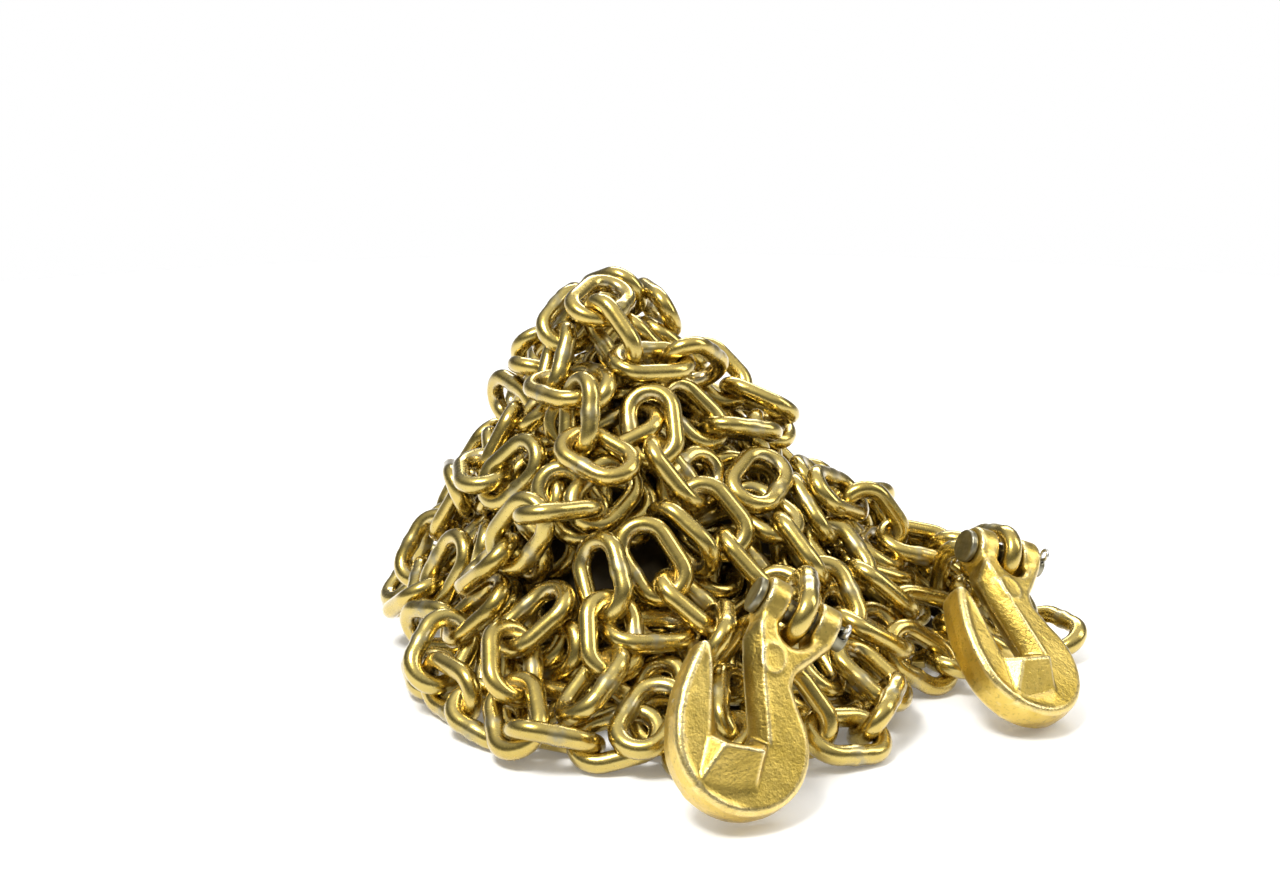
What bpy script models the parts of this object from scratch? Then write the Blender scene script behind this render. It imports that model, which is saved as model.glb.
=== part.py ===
"""Heap of short-link steel chain with a winged clevis grab hook at each of its two ends.

Metres, +Z up, floor at z = 0, seen along +Y as in the photograph. The chain is laid by a
rule, one link at a time: each link hangs in the one before, lies as low as it finds room and
heads for the barest part of the heap. Links that lie out of sight are one plain core.
"""
import math

import bmesh
import bpy
import numpy as np
from mathutils import Matrix

MM = 0.001

# Chain: 8 mm wire, 24 mm pitch
WIRE = 8 * MM
PITCH = 24 * MM
INSIDE_WIDTH = 11 * MM
LINK_HALF_WIDTH = (INSIDE_WIDTH + WIRE) / 2
REACH = PITCH + WIRE                      # middle of one crown to middle of the other
HALF_STRAIGHT = REACH / 2 - LINK_HALF_WIDTH
HOLD = WIRE - 0.60 * MM                   # between two crown middles; a strand's links are fused there
CROWN_STEPS = 4
END_CROWN_STEPS = 8
WIRE_SIDES = 6
OFF_TRUE = math.radians(5)                # two corners never meet edge on edge

# Heap: rounded mounds as (middle x, y, top, run left, run right, run front, run back)
MOUNDS = [
    (-0.048, 0.085, 0.168, 0.098, 0.133, 0.190, 0.100),
    (0.025, 0.060, 0.092, 0.110, 0.105, 0.175, 0.095),
    (0.088, 0.052, 0.058, 0.100, 0.075, 0.080, 0.075),
    (-0.025, -0.045, 0.052, 0.068, 0.110, 0.076, 0.090),
]
BLUNT = 0.25                              # how round a mound's top is
BLEND = 5                                 # how sharply mounds meet
LAYER = 26 * MM                           # depth of the links modelled one by one
BED = 34 * MM                             # a bedded link may sink this far below the core
CORE_SKIN = 0.5 * MM                      # the core's facets stay this far under its rule
CORE_RINGS = 9
CORE_SIDES = 40

# Laying rule
SEED = 8
LINK_TARGET = 142
STRAND_LENGTH = 6
SHORTEST_STRAND = 3
SEAT_TRIES = 60
CLEARANCE = 0.15 * MM
DROP = 0.1 * MM                           # step in which a whole strand is let down
SEATED = -0.12 * MM                       # round bars may meet a little: the faceted ones then just touch
SLACK = 1.6 * MM                          # how much closer than at their crowns two links may come
GRID_LOW = np.array([-0.210, -0.200, -0.005])
GRID_HIGH = np.array([0.210, 0.240, 0.215])
CELL = 2.5 * MM
SEATS_TRIED = 4
HEADING_WEIGHT = 10 * MM                  # a strand rather starts level or downhill
YAWS = np.radians(np.arange(-80, 81, 10))
PITCHES = np.radians(np.arange(-80, 66, 7.5))
ROLLS = np.radians(np.arange(0, 180, 15))
STEEPEST_BEND = math.cos(math.radians(78))
LEAST_CROSSING = math.sin(math.radians(55))
LEAST_PULL = 0.30
LOW_WEIGHT, HIGH_WEIGHT, GOAL_WEIGHT, BEND_WEIGHT, CHANCE = 30, 150, 6, 0.25, 0.12
HIGHEST_IN_HEAP = 3 * MM                  # a free strand ends when its next link would lie higher
HIGHEST_AT_HOOK = 30 * MM
HOOK_KEEP_OFF = 14 * MM                   # around a place where no strand could start
LEAST_BARE = 11 * MM                      # a place is full once the heap lacks less
FIRST_WAYS = 60
FIRST_LIFTS = np.arange(0, 22 * MM, 0.5 * MM)

# Links bedded in the core
BEDDED_TARGET = 58
BEDDED_TRIES = 260
BEDDED_WAYS = 90
BEDDED_CROWN_STEPS = 3
BEDDED_SIDES = 4
BEDDED_SPREAD = 8 * MM
BEDDED_TILT, BEDDED_TURN_OVER = 0.35, 0.60          # usual angles from lying flat
BEDDED_DEPTHS = np.arange(LAYER - 9 * MM, LAYER + 9 * MM, 2 * MM)
BEDDED_CLEARANCE = 0.3 * MM
BEDDED_SUNK = (0.25, 0.70)                # share of a bedded link that lies under the core's surface

# Hook, in its own frame: X across, Y up the slot, Z out of the face, origin in the bowl
BOWL_RADIUS = 26.5 * MM
PLATE = 14 * MM
RIM_BEVEL = 1.6 * MM
EYE_PROUD = 0.4 * MM                      # the eyes' end faces stand this far out of the plate
SLOT_LEFT, SLOT_RIGHT, SLOT_FLOOR = -8.0 * MM, 4.5 * MM, -1.3 * MM
FORK_TILT = math.radians(24)
PIN_SEAT = (27.6 * MM, 50.8 * MM)
PIN_RADIUS = 4.75 * MM
PIN_BORE = PIN_RADIUS + 0.3 * MM
EYE_RADIUS = 9.2 * MM
FORK_GAP = 12.4 * MM
EAR = 9 * MM
THROAT_DEPTH = 14.6 * MM
WING_HEIGHT = 5.5 * MM
HEAD_RADIUS, HEAD_THICKNESS = 7 * MM, 3.2 * MM
PIN_TAIL = 5.5 * MM                       # pin beyond the second ear
PIN_BEVEL = 0.8 * MM
ROUND_SIDES = 16
HOLE_SIDES = 8
SPLIT_HOLE = 1.9 * MM                     # radius of the cross hole
SPLIT_WIRE = 0.75 * MM                    # radius of one leg
GAP = 0.3 * MM

# Where each hook lies: bowl middle, across and up-slot directions, and how far its end link leans back
HOOKS = {
    "front": dict(bowl=(0.0043, -0.1325, 0.0258), across=(0.929, 0.311, -0.198),
                  up=(-0.040, 0.619, 0.784), lean=math.radians(35), strand=7),
    "right": dict(bowl=(0.1220, -0.0481, 0.0231), across=(0.790, 0.606, -0.090),
                  up=(-0.416, 0.638, 0.647), lean=math.radians(50), strand=6),
}


def unit(vector):
    return vector / np.sqrt((vector * vector).sum(-1, keepdims=True))


# Shape of the heap

def mound(x, y, middle_x, middle_y, top, left, right, front, back):
    run_x = np.where(x < middle_x, left, right)
    run_y = np.where(y < middle_y, front, back)
    out = np.sqrt(((x - middle_x) / run_x) ** 2 + ((y - middle_y) / run_y) ** 2)
    soft = np.sqrt(out ** 2 + BLUNT ** 2) - BLUNT
    return top * (1 - soft / (math.sqrt(1 + BLUNT ** 2) - BLUNT))


def heap_height(x, y):
    heights = [np.maximum(mound(x, y, *shape), 0) for shape in MOUNDS]
    return sum(height ** BLEND for height in heights) ** (1 / BLEND)


def core_height(x, y):
    return heap_height(x, y) - LAYER


# One link

def link_path(crown_steps, spacing=1.0):
    """Closed middle line of a link as (along, across) from the link's middle."""
    corners = []
    for end in (1, -1):
        for step in range(crown_steps + 1):
            turn = -math.pi / 2 + math.pi * step / crown_steps
            corners.append((end * (HALF_STRAIGHT + LINK_HALF_WIDTH * math.cos(turn)),
                            end * LINK_HALF_WIDTH * math.sin(turn)))
    path = []
    for here, there in zip(corners, corners[1:] + corners[:1]):
        here, there = np.array(here), np.array(there)
        parts = max(1, round(math.dist(here, there) / spacing))
        path += [here + (there - here) * part / parts for part in range(parts)]
    return np.array(path)


ROUND_PATH = link_path(8)
PLAIN_PATH = link_path(CROWN_STEPS)
FINE_PATH = link_path(12)
TEST_PATH = np.concatenate([link_path(8, 3.4 * MM), link_path(CROWN_STEPS, 3.8 * MM)])


class Link:
    """A link from the middle of its first crown, with its long and its wide direction."""

    def __init__(self, start, along, across):
        self.start, self.along, self.across = start, along, across
        self.end = start + along * REACH

    def place(self, path):
        return self.start + (path[:, :1] + REACH / 2) * self.along + path[:, 1:] * self.across


# Room on the heap

class Room:
    """Free room around each grid point for the middle of a wire, and how high the heap is filled."""

    def __init__(self, depth):
        count = np.round((GRID_HIGH - GRID_LOW) / CELL).astype(int) + 1
        axes = [GRID_LOW[k] + CELL * np.arange(count[k]) for k in range(3)]
        self.last_cell = count - 2
        self.points = np.stack(np.meshgrid(*axes, indexing="ij"), -1)
        self.x, self.y = self.points[:, :, 0, 0], self.points[:, :, 0, 1]
        height = self.points[..., 2]
        self.target = heap_height(self.x, self.y)
        core = self.target - depth
        slope_x, slope_y = np.gradient(core, CELL)
        self.slant = np.sqrt(1 + slope_x ** 2 + slope_y ** 2)
        self.normal = np.stack([-slope_x, -slope_y, np.ones(core.shape)], -1) / self.slant[..., None]
        over_core = (height - core[..., None]) / self.slant[..., None] - WIRE / 2
        over_core[core < -LAYER / 2] = 4 * WIRE
        self.free = np.minimum(over_core, height - WIRE / 2 + SEATED)
        self.filled = np.maximum(core, 0)
        self.in_heap = self.target > WIRE

    def snapshot(self):
        return self.free.copy(), self.filled.copy()

    def restore(self, kept):
        self.free, self.filled = kept

    def around(self, points):
        """Room between the grid points, by straight-line blending."""
        place = (points - GRID_LOW) / CELL
        cell = np.clip(np.floor(place).astype(int), 0, self.last_cell)
        fx, fy, fz = np.moveaxis(place - cell, -1, 0)
        x, y, z = np.moveaxis(cell, -1, 0)

        def row(y, z):
            return self.free[x, y, z] * (1 - fx) + self.free[x + 1, y, z] * fx

        low = row(y, z) * (1 - fy) + row(y + 1, z) * fy
        high = row(y, z + 1) * (1 - fy) + row(y + 1, z + 1) * fy
        return low * (1 - fz) + high * fz

    def column(self, points):
        cell = np.round((points[..., :2] - GRID_LOW[:2]) / CELL).astype(int)
        cell = np.clip(cell, 0, self.last_cell[:2])
        return cell[..., 0], cell[..., 1]

    def surface_at(self, points):
        return self.target[self.column(points)]

    def take(self, points, radius, closed):
        """Takes up the room of a bent bar."""
        starts, ends = (points, np.roll(points, -1, axis=0)) if closed else (points[:-1], points[1:])
        margin = radius + 1.4 * WIRE
        low = np.floor((points.min(0) - margin - GRID_LOW) / CELL).astype(int)
        high = np.ceil((points.max(0) + margin - GRID_LOW) / CELL).astype(int)
        low, high = np.clip(low, 0, self.last_cell), np.clip(high, 1, self.last_cell + 2)
        block = tuple(slice(low[k], high[k]) for k in range(3))
        cells = self.points[block]
        nearest = np.ones(cells.shape[:3])
        for start, end in zip(starts, ends):
            run = end - start
            share = np.clip(((cells - start) * run).sum(-1) / (run * run).sum(), 0, 1)
            away = cells - start - share[..., None] * run
            nearest = np.minimum(nearest, (away * away).sum(-1))
        nearest = np.sqrt(nearest)
        self.free[block] = np.minimum(self.free[block], nearest - radius - WIRE / 2)
        tops = np.where(nearest < radius, cells[..., 2], 0).max(2)
        self.filled[block[:2]] = np.maximum(self.filled[block[:2]], tops)

    def take_link(self, link):
        self.take(link.place(ROUND_PATH), WIRE / 2, closed=True)
        self.take(link.place(PLAIN_PATH), WIRE / 2, closed=True)

    def bareness(self):
        """How much each part of the heap still lacks, averaged over about a link's width."""
        bare = np.clip(self.target - self.filled, 0, LAYER) * self.in_heap
        reach = 4
        for axis in (0, 1):
            bare = sum(np.roll(bare, shift, axis) for shift in range(-reach, reach + 1)) / (2 * reach + 1)
        return bare


# Laying rule

def directions(yaw, pitch, roll):
    along = np.stack([np.cos(pitch) * np.cos(yaw), np.cos(pitch) * np.sin(yaw), np.sin(pitch)], -1)
    level = np.stack([-np.sin(yaw), np.cos(yaw), 0 * yaw], -1)
    upright = np.cross(along, level)
    return along, np.cos(roll)[..., None] * level + np.sin(roll)[..., None] * upright


def pull_between(last, along, across):
    """Direction in which a link pulls on the last one, and how square their wires cross."""
    pull = np.cross(last.across, across)
    crossing = np.sqrt((pull * pull).sum(-1))
    pull = pull / np.maximum(crossing, 1e-6)[..., None]
    return pull * np.sign((pull * (last.along + along)).sum(-1))[..., None], crossing


def hangs(last, along, pull, crossing):
    """Whether two links can bear on each other crown in crown."""
    fits = (crossing > LEAST_CROSSING) & ((along * last.along).sum(-1) > STEEPEST_BEND)
    return fits & ((pull * last.along).sum(-1) > LEAST_PULL) & ((pull * along).sum(-1) > LEAST_PULL)


def least_distance(points, loop):
    """Smallest distance of some points to a closed middle line."""
    run = np.roll(loop, -1, axis=0) - loop
    from_start = points[:, None] - loop
    share = np.clip((from_start * run).sum(-1) / (run * run).sum(-1), 0, 1)
    away = from_start - share[..., None] * run
    return math.sqrt((away * away).sum(-1).min())


def clears(last, link):
    """Whether a link touches the one it hangs in nowhere but at their crowns."""
    return least_distance(link.place(FINE_PATH), last.place(FINE_PATH)) > HOLD - SLACK


def turned(vector, axis, angle):
    return (vector * math.cos(angle) + np.cross(axis, vector) * math.sin(angle)
            + axis * (axis * vector).sum() * (1 - math.cos(angle)))


def sink(room, last, link):
    """Turns a link down about its hold until it lies on something."""
    side = np.cross(link.along, [0, 0, 1.0])
    if (side * side).sum() < 0.04:
        return link
    side = unit(side)
    angle, step, found = 0.0, math.radians(-5), link
    for _ in range(7):
        along, across = turned(link.along, side, angle + step), turned(link.across, side, angle + step)
        pull, crossing = pull_between(last, along, across)
        trial = Link(last.end - HOLD * pull, along, across)
        free = room.around(trial.place(TEST_PATH)).min() > CLEARANCE and clears(last, trial)
        if free and hangs(last, along, pull, crossing):
            angle, found = angle + step, trial
        else:
            step /= 2
    return found


def next_link(room, last, goal, highest, chance):
    """The link that lies lowest and nearest to the goal, or None where there is no room."""
    heading = math.atan2(last.along[1], last.along[0])
    yaw, pitch, roll = np.meshgrid(heading + YAWS + chance.uniform(-0.1, 0.1),
                                   PITCHES + chance.uniform(-0.07, 0.07),
                                   ROLLS + chance.uniform(-0.18, 0.18), indexing="ij")
    along, across = directions(yaw.ravel(), pitch.ravel(), roll.ravel())
    pull, crossing = pull_between(last, along, across)
    fits = hangs(last, along, pull, crossing)
    along, across = along[fits], across[fits]
    start = last.end - HOLD * pull[fits]
    points = (start[:, None] + (TEST_PATH[:, :1] + REACH / 2) * along[:, None]
              + TEST_PATH[:, 1:] * across[:, None])
    depth = points[..., 2] - room.surface_at(points)
    end = start + along * REACH
    to_goal = np.sqrt(((end[:, :2] - goal) ** 2).sum(-1))
    cost = LOW_WEIGHT * depth.mean(1) + HIGH_WEIGHT * np.maximum(depth + WIRE / 2, 0).mean(1)
    cost += GOAL_WEIGHT * to_goal + BEND_WEIGHT * (1 - (along * last.along).sum(-1))
    cost += chance.uniform(0, CHANCE, len(cost))
    cost[room.around(points).min(1) < CLEARANCE] = np.inf
    cost[depth.mean(1) > highest] = np.inf
    for best in np.argsort(cost, kind="stable"):
        if not np.isfinite(cost[best]):
            return None
        link = Link(start[best], along[best], across[best])
        if clears(last, link):
            return sink(room, last, link)
    return None


def pick_goal(room, here, chance):
    """A bare place not too far off, rather in front than behind."""
    bare = room.bareness()
    away = np.hypot(room.x - here[0], room.y - here[1])
    score = 3 * bare - 0.35 * away - 0.15 * np.maximum(room.y - 0.10, 0)
    score += chance.uniform(0, 0.006, bare.shape)
    score[bare < 0.006] = -9
    cell = np.unravel_index(int(np.argmax(score)), score.shape)
    return np.array([room.x[cell], room.y[cell]])


def lay_strand(room, first, count, highest, chance):
    links = [first]
    goal, steps_left = None, 0
    while len(links) < count:
        last = links[-1]
        if steps_left == 0 or math.dist(goal, last.end[:2]) < 22 * MM:
            goal, steps_left = pick_goal(room, last.end, chance), 5
        steps_left -= 1
        link = next_link(room, last, goal, highest, chance)
        if link is None:
            break
        room.take_link(last)
        links.append(link)
    room.take_link(links[-1])
    return links


def let_down(room, links):
    """A strand lowered as one until it lies on something."""
    points = np.concatenate([link.place(TEST_PATH) for link in links])
    down = np.array([0, 0, -DROP])
    steps = 0
    while room.around(points + (steps + 1) * down).min() > SEATED:
        steps += 1
    return [Link(link.start + steps * down, link.along, link.across) for link in links]


def seat_first(room, barred, chance):
    """The barest place of the heap, and the lowest free links there."""
    bare = room.bareness()
    for x, y in barred:
        bare[np.hypot(room.x - x, room.y - y) < HOOK_KEEP_OFF] = 0
    cell = np.unravel_index(int(np.argmax(bare)), bare.shape)
    if bare[cell] < LEAST_BARE:
        return None, []
    place = room.x[cell], room.y[cell]
    slope_x, slope_y = [float(slope[cell]) for slope in np.gradient(room.target, CELL)]
    yaw = chance.uniform(-math.pi, math.pi, FIRST_WAYS)
    pitch = np.arctan(slope_x * np.cos(yaw) + slope_y * np.sin(yaw))
    pitch += chance.uniform(-0.25, 0.25, FIRST_WAYS)
    along, across = directions(yaw, pitch, chance.uniform(0, math.pi, FIRST_WAYS))
    floor = max(float(core_height(*place)), 0) + WIRE / 2
    middle = np.stack([np.full(len(FIRST_LIFTS), place[0]), np.full(len(FIRST_LIFTS), place[1]),
                       floor + FIRST_LIFTS], -1)
    start = middle[:, None] - along * REACH / 2
    points = (start[:, :, None] + (TEST_PATH[:, :1] + REACH / 2) * along[:, None]
              + TEST_PATH[:, 1:] * across[:, None])
    free = room.around(points).min(-1) > CLEARANCE
    level = np.where(free, FIRST_LIFTS[:, None], 1.0).min(0) + HEADING_WEIGHT * along[:, 2]
    order = np.argsort(level, kind="stable")
    seats = [way for way in order if free[:, way].any()][:SEATS_TRIED]
    return place, [Link(start[int(np.argmax(free[:, way])), way], along[way], across[way]) for way in seats]


def lay_chain(hooks):
    """All strands that show: one from each hook, then others from the barest places."""
    room = Room(LAYER)
    chance = np.random.default_rng(SEED)
    for hook in hooks.values():
        hook.take_room(room)
    strands = [lay_strand(room, hook.end_link, hook.strand, HIGHEST_AT_HOOK, chance)
               for hook in hooks.values()]
    barred = []
    while sum(map(len, strands)) < LINK_TARGET and len(barred) < SEAT_TRIES:
        place, seats = seat_first(room, barred, chance)
        if place is None:
            break
        for first in seats:
            kept = room.snapshot()
            links = lay_strand(room, first, STRAND_LENGTH, HIGHEST_IN_HEAP, chance)
            room.restore(kept)
            if len(links) >= SHORTEST_STRAND:
                links = let_down(room, links)
                for link in links:
                    room.take_link(link)
                strands.append(links)
                break
        else:
            barred.append(place)
    return strands


# Links bedded in the core

def flat_on(normal, tilt, turn_over, chance):
    """Random long and wide directions that lie more or less flat on a surface."""
    ways = len(normal)
    turn = chance.uniform(0, 2 * math.pi, ways)
    pitch, roll = chance.normal(0, tilt, ways), chance.normal(0, turn_over, ways)
    level = unit(np.stack([-normal[:, 1], normal[:, 0] + 1e-9, 0 * turn], -1))
    uphill = np.cross(normal, level)
    forward = np.cos(turn)[:, None] * level + np.sin(turn)[:, None] * uphill
    sideways = np.cross(normal, forward)
    along = np.cos(pitch)[:, None] * forward + np.sin(pitch)[:, None] * normal
    upright = np.cross(along, sideways)
    return along, np.cos(roll)[:, None] * sideways + np.sin(roll)[:, None] * upright


def bedded_link(room, place, chance):
    """The highest link around a place that is still half sunk in the core, or None."""
    spots = place + chance.normal(0, BEDDED_SPREAD, (BEDDED_WAYS, 2))
    column = room.column(spots)
    along, across = flat_on(room.normal[column], BEDDED_TILT, BEDDED_TURN_OVER, chance)
    height = room.target[column][:, None] - BEDDED_DEPTHS
    middle = np.concatenate([np.broadcast_to(spots[:, None], (*height.shape, 2)), height[..., None]], -1)
    start = middle - along[:, None] * REACH / 2
    points = (start[:, :, None] + (TEST_PATH[:, :1] + REACH / 2) * along[:, None, None]
              + TEST_PATH[:, 1:] * across[:, None, None])
    over_core = (points[..., 2] - room.surface_at(points) + LAYER) / room.slant[room.column(points)]
    sunk = (over_core < 0).mean(-1)
    fits = (sunk > BEDDED_SUNK[0]) & (sunk < BEDDED_SUNK[1])
    fits &= room.around(points).min(-1) > BEDDED_CLEARANCE
    level = np.where(fits, over_core.mean(-1), -1.0)
    way, deep = np.unravel_index(int(np.argmax(level)), level.shape)
    if not fits[way, deep]:
        return None
    return Link(start[way, deep], along[way], across[way])


def lay_bedded(hooks, strands):
    """Links half sunk in the core wherever it shows between the strands, clear of each other."""
    room = Room(LAYER + BED)
    chance = np.random.default_rng(SEED + 1)
    for hook in hooks.values():
        hook.take_room(room)
    for strand in strands:
        for link in strand:
            room.take_link(link)
    bedded = []
    open_to = np.ones(room.x.shape)
    for _ in range(BEDDED_TRIES):
        if len(bedded) == BEDDED_TARGET:
            break
        lack = room.bareness() * open_to * chance.uniform(0.3, 1, open_to.shape)
        cell = np.unravel_index(int(np.argmax(lack)), lack.shape)
        place = np.array([room.x[cell], room.y[cell]])
        link = bedded_link(room, place, chance)
        if link is None:
            open_to[np.hypot(room.x - place[0], room.y - place[1]) < BEDDED_SPREAD] *= 0.5
        else:
            room.take_link(link)
            bedded.append(link)
    return bedded


# Where a hook lies

class HookPlace:
    def __init__(self, bowl, across, up, lean, strand):
        self.bowl, self.strand = np.array(bowl), strand
        self.up = unit(np.array(up))
        across = np.array(across)
        self.across = unit(across - self.up * (across * self.up).sum())
        self.face = np.cross(self.across, self.up)
        self.fork = math.sin(FORK_TILT) * self.across + math.cos(FORK_TILT) * self.up
        self.pin = math.cos(FORK_TILT) * self.across - math.sin(FORK_TILT) * self.up
        self.pin_middle = self.at(*PIN_SEAT)
        along = math.cos(lean) * self.fork - math.sin(lean) * self.face
        hold = PIN_RADIUS + WIRE / 2 + GAP
        self.end_link = Link(self.pin_middle - hold * along, along, np.cross(along, self.pin))

    def at(self, x, y, z=0.0):
        return self.bowl + x * self.across + y * self.up + z * self.face

    def take_room(self, room):
        turns = np.radians(np.arange(0, 360, 30))
        room.take(np.array([self.at(*(18 * MM * np.array([math.cos(t), math.sin(t)]))) for t in turns]),
                  9 * MM, closed=True)
        bars = [
            (9 * MM, [(-5, -6), (6, -6)]),
            (7 * MM, [(-18, 2), (-12, 30)]),
            (8.5 * MM, [(14, 5), (16, 35), (18, 55)]),
            (8.5 * MM, [(26, 32), (37, 46.5)]),
        ]
        for radius, corners in bars:
            room.take(np.array([self.at(x * MM, y * MM) for x, y in corners]), radius, closed=False)
        for side in (-1, 1):
            ends = [self.pin_middle + side * reach * self.pin for reach in (7 * MM, 20 * MM)]
            room.take(np.array(ends), EYE_RADIUS, closed=False)


# Meshes

def material(name, colour, roughness, metallic=1.0):
    made = bpy.data.materials.new(name)
    made.use_nodes = True
    surface = made.node_tree.nodes["Principled BSDF"]
    surface.inputs["Base Color"].default_value = (*colour, 1)
    surface.inputs["Roughness"].default_value = roughness
    surface.inputs["Metallic"].default_value = metallic
    return made


def add_object(name, points, faces, finish, smooth=False):
    mesh = bpy.data.meshes.new(name)
    mesh.from_pydata([tuple(float(value) for value in point) for point in points], [], faces)
    mesh.validate()
    mesh.update()
    if smooth:
        mesh.shade_smooth()
        mesh.set_sharp_from_angle(angle=math.radians(50))
    mesh.materials.append(finish)
    made = bpy.data.objects.new(name, mesh)
    bpy.context.scene.collection.objects.link(made)
    return made


def helper(made):
    made.hide_render = True
    made.display_type = "WIRE"
    return made


def combine(target, tool, operation):
    modifier = target.modifiers.new(operation.lower() + "_" + tool.name, "BOOLEAN")
    modifier.operation = operation
    modifier.solver = "EXACT"
    modifier.object = helper(tool)


def is_closed(made):
    """Whether what the modifiers leave of an object is closed once its faces are triangles."""
    evaluated = made.evaluated_get(bpy.context.evaluated_depsgraph_get())
    body = bmesh.new()
    body.from_mesh(evaluated.to_mesh())
    evaluated.to_mesh_clear()
    bmesh.ops.triangulate(body, faces=body.faces)
    closed = all(edge.is_manifold for edge in body.edges)
    body.free()
    return closed


def join(parts):
    """Unites parts in the first one, cut into triangles beforehand where that keeps it closed."""
    for part in parts[1:]:
        combine(parts[0], part, "UNION")
    if not is_closed(parts[0]):
        for part in parts:
            part.modifiers.new("three_sided", "TRIANGULATE")
            part.modifiers.move(len(part.modifiers) - 1, 0)


def tube(points, outward, normals, radius, sides, closed, phases=None):
    """Points and faces of a bar; a section corner lies outward, turned by its phase."""
    angles = 2 * math.pi * np.arange(sides) / sides
    phases = np.zeros(len(points)) if phases is None else phases
    turn = angles[None] + phases[:, None]
    ring = np.cos(turn)[..., None] * outward[:, None] + np.sin(turn)[..., None] * normals[:, None]
    corners = (points[:, None] + radius * ring).reshape(-1, 3)
    faces = []
    count = len(points)
    for i in range(count if closed else count - 1):
        here, there = i * sides, (i + 1) % count * sides
        faces += [(here + j, there + j, there + (j + 1) % sides, here + (j + 1) % sides)
                  for j in range(sides)]
    if not closed:
        faces += [tuple(range(sides)), tuple(reversed(range((count - 1) * sides, count * sides)))]
    return corners, faces


def link_object(name, link, crown_steps, pull_in, pull_out, finish):
    """A link whose section has a corner where each neighbour bears on it."""
    path = link_path(crown_steps)
    points = link.place(path)
    run = unit(np.roll(points, -1, axis=0) - np.roll(points, 1, axis=0))
    flat = np.cross(link.along, link.across)
    normals = np.broadcast_to(flat, run.shape)
    outward = np.cross(run, normals)
    phases = np.zeros(len(path))
    ends = ((path[:, 0] < 0, link.along, pull_in), (path[:, 0] > 0, -link.along, pull_out))
    for half, inward, pull in ends:
        if pull is not None:
            lean = math.atan2((pull * flat).sum(), (pull * inward).sum())
            corner = 2 * math.pi / WIRE_SIDES
            lean -= corner * round(lean / corner)
            phases[half] = OFF_TRUE - lean
    corners, faces = tube(points, outward, normals, WIRE / 2, WIRE_SIDES, closed=True, phases=phases)
    return add_object(name, corners, faces, finish, smooth=True)


def build_strand(name, strand, hooked, finish):
    """One strand, its links joined where they bear on each other."""
    parts = []
    for index, link in enumerate(strand):
        pull_in = pull_between(strand[index - 1], link.along, link.across)[0] if index else None
        after = strand[index + 1] if index + 1 < len(strand) else None
        pull_out = -pull_between(link, after.along, after.across)[0] if after else None
        steps = END_CROWN_STEPS if hooked and index == 0 else CROWN_STEPS
        own_name = f"{name}_link_{index}" if index else name
        parts.append(link_object(own_name, link, steps, pull_in, pull_out, finish))
    join(parts)


def build_core(bedded, finish):
    """The hidden links: a lump flat where it rests, with the links that show in its surface."""
    middle = np.array([-0.020, 0.050])
    shares = np.arange(1, CORE_RINGS + 1) / CORE_RINGS
    reaches = np.arange(0.0, 0.25, 0.5 * MM)
    points, edges = [], []
    for side in range(CORE_SIDES):
        turn = 2 * math.pi * side / CORE_SIDES
        way = np.array([math.cos(turn), math.sin(turn)])
        heights = core_height(middle[0] + reaches * way[0], middle[1] + reaches * way[1])
        rim = reaches[int(np.argmax(heights < 3 * MM))]
        for share in shares:
            spot = middle + way * rim * share
            points.append((spot[0], spot[1], max(float(core_height(*spot)) - CORE_SKIN, 1 * MM)))
        edges.append((*(middle + way * rim), 0.0))
    points.append((*middle, float(core_height(*middle)) - CORE_SKIN))
    top = len(points) - 1
    foot = len(points)
    points += edges
    faces = []
    for side in range(CORE_SIDES):
        here, there = side * CORE_RINGS, (side + 1) % CORE_SIDES * CORE_RINGS
        faces.append((top, here, there))
        faces += [(here + k, here + k + 1, there + k + 1, there + k) for k in range(CORE_RINGS - 1)]
        faces.append((here + CORE_RINGS - 1, foot + side, foot + (side + 1) % CORE_SIDES,
                      there + CORE_RINGS - 1))
    faces.append(tuple(reversed(range(foot, foot + CORE_SIDES))))
    parts = [add_object("heap_core", points, faces, finish, smooth=True)]
    path = link_path(BEDDED_CROWN_STEPS)
    phases = np.full(len(path), math.pi / BEDDED_SIDES + OFF_TRUE)
    for index, link in enumerate(bedded):
        middle_line = link.place(path)
        run = unit(np.roll(middle_line, -1, axis=0) - np.roll(middle_line, 1, axis=0))
        normals = np.broadcast_to(np.cross(link.along, link.across), run.shape)
        bar = tube(middle_line, np.cross(run, normals), normals, WIRE / 2, BEDDED_SIDES, True, phases)
        parts.append(add_object(f"bedded_link_{index}", *bar, finish, smooth=True))
    join(parts)


# Hook

def arc(middle, radius, first, last, steps):
    """Points of an arc between two angles in degrees."""
    return [(middle[0] + radius * math.cos(turn), middle[1] + radius * math.sin(turn))
            for turn in np.radians(np.linspace(first, last, steps))]


def fork_point(along_pin, along_fork):
    """A point of the face plane given from the pin's middle."""
    cos, sin = math.cos(FORK_TILT), math.sin(FORK_TILT)
    return (PIN_SEAT[0] + along_pin * cos + along_fork * sin,
            PIN_SEAT[1] - along_pin * sin + along_fork * cos)


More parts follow.
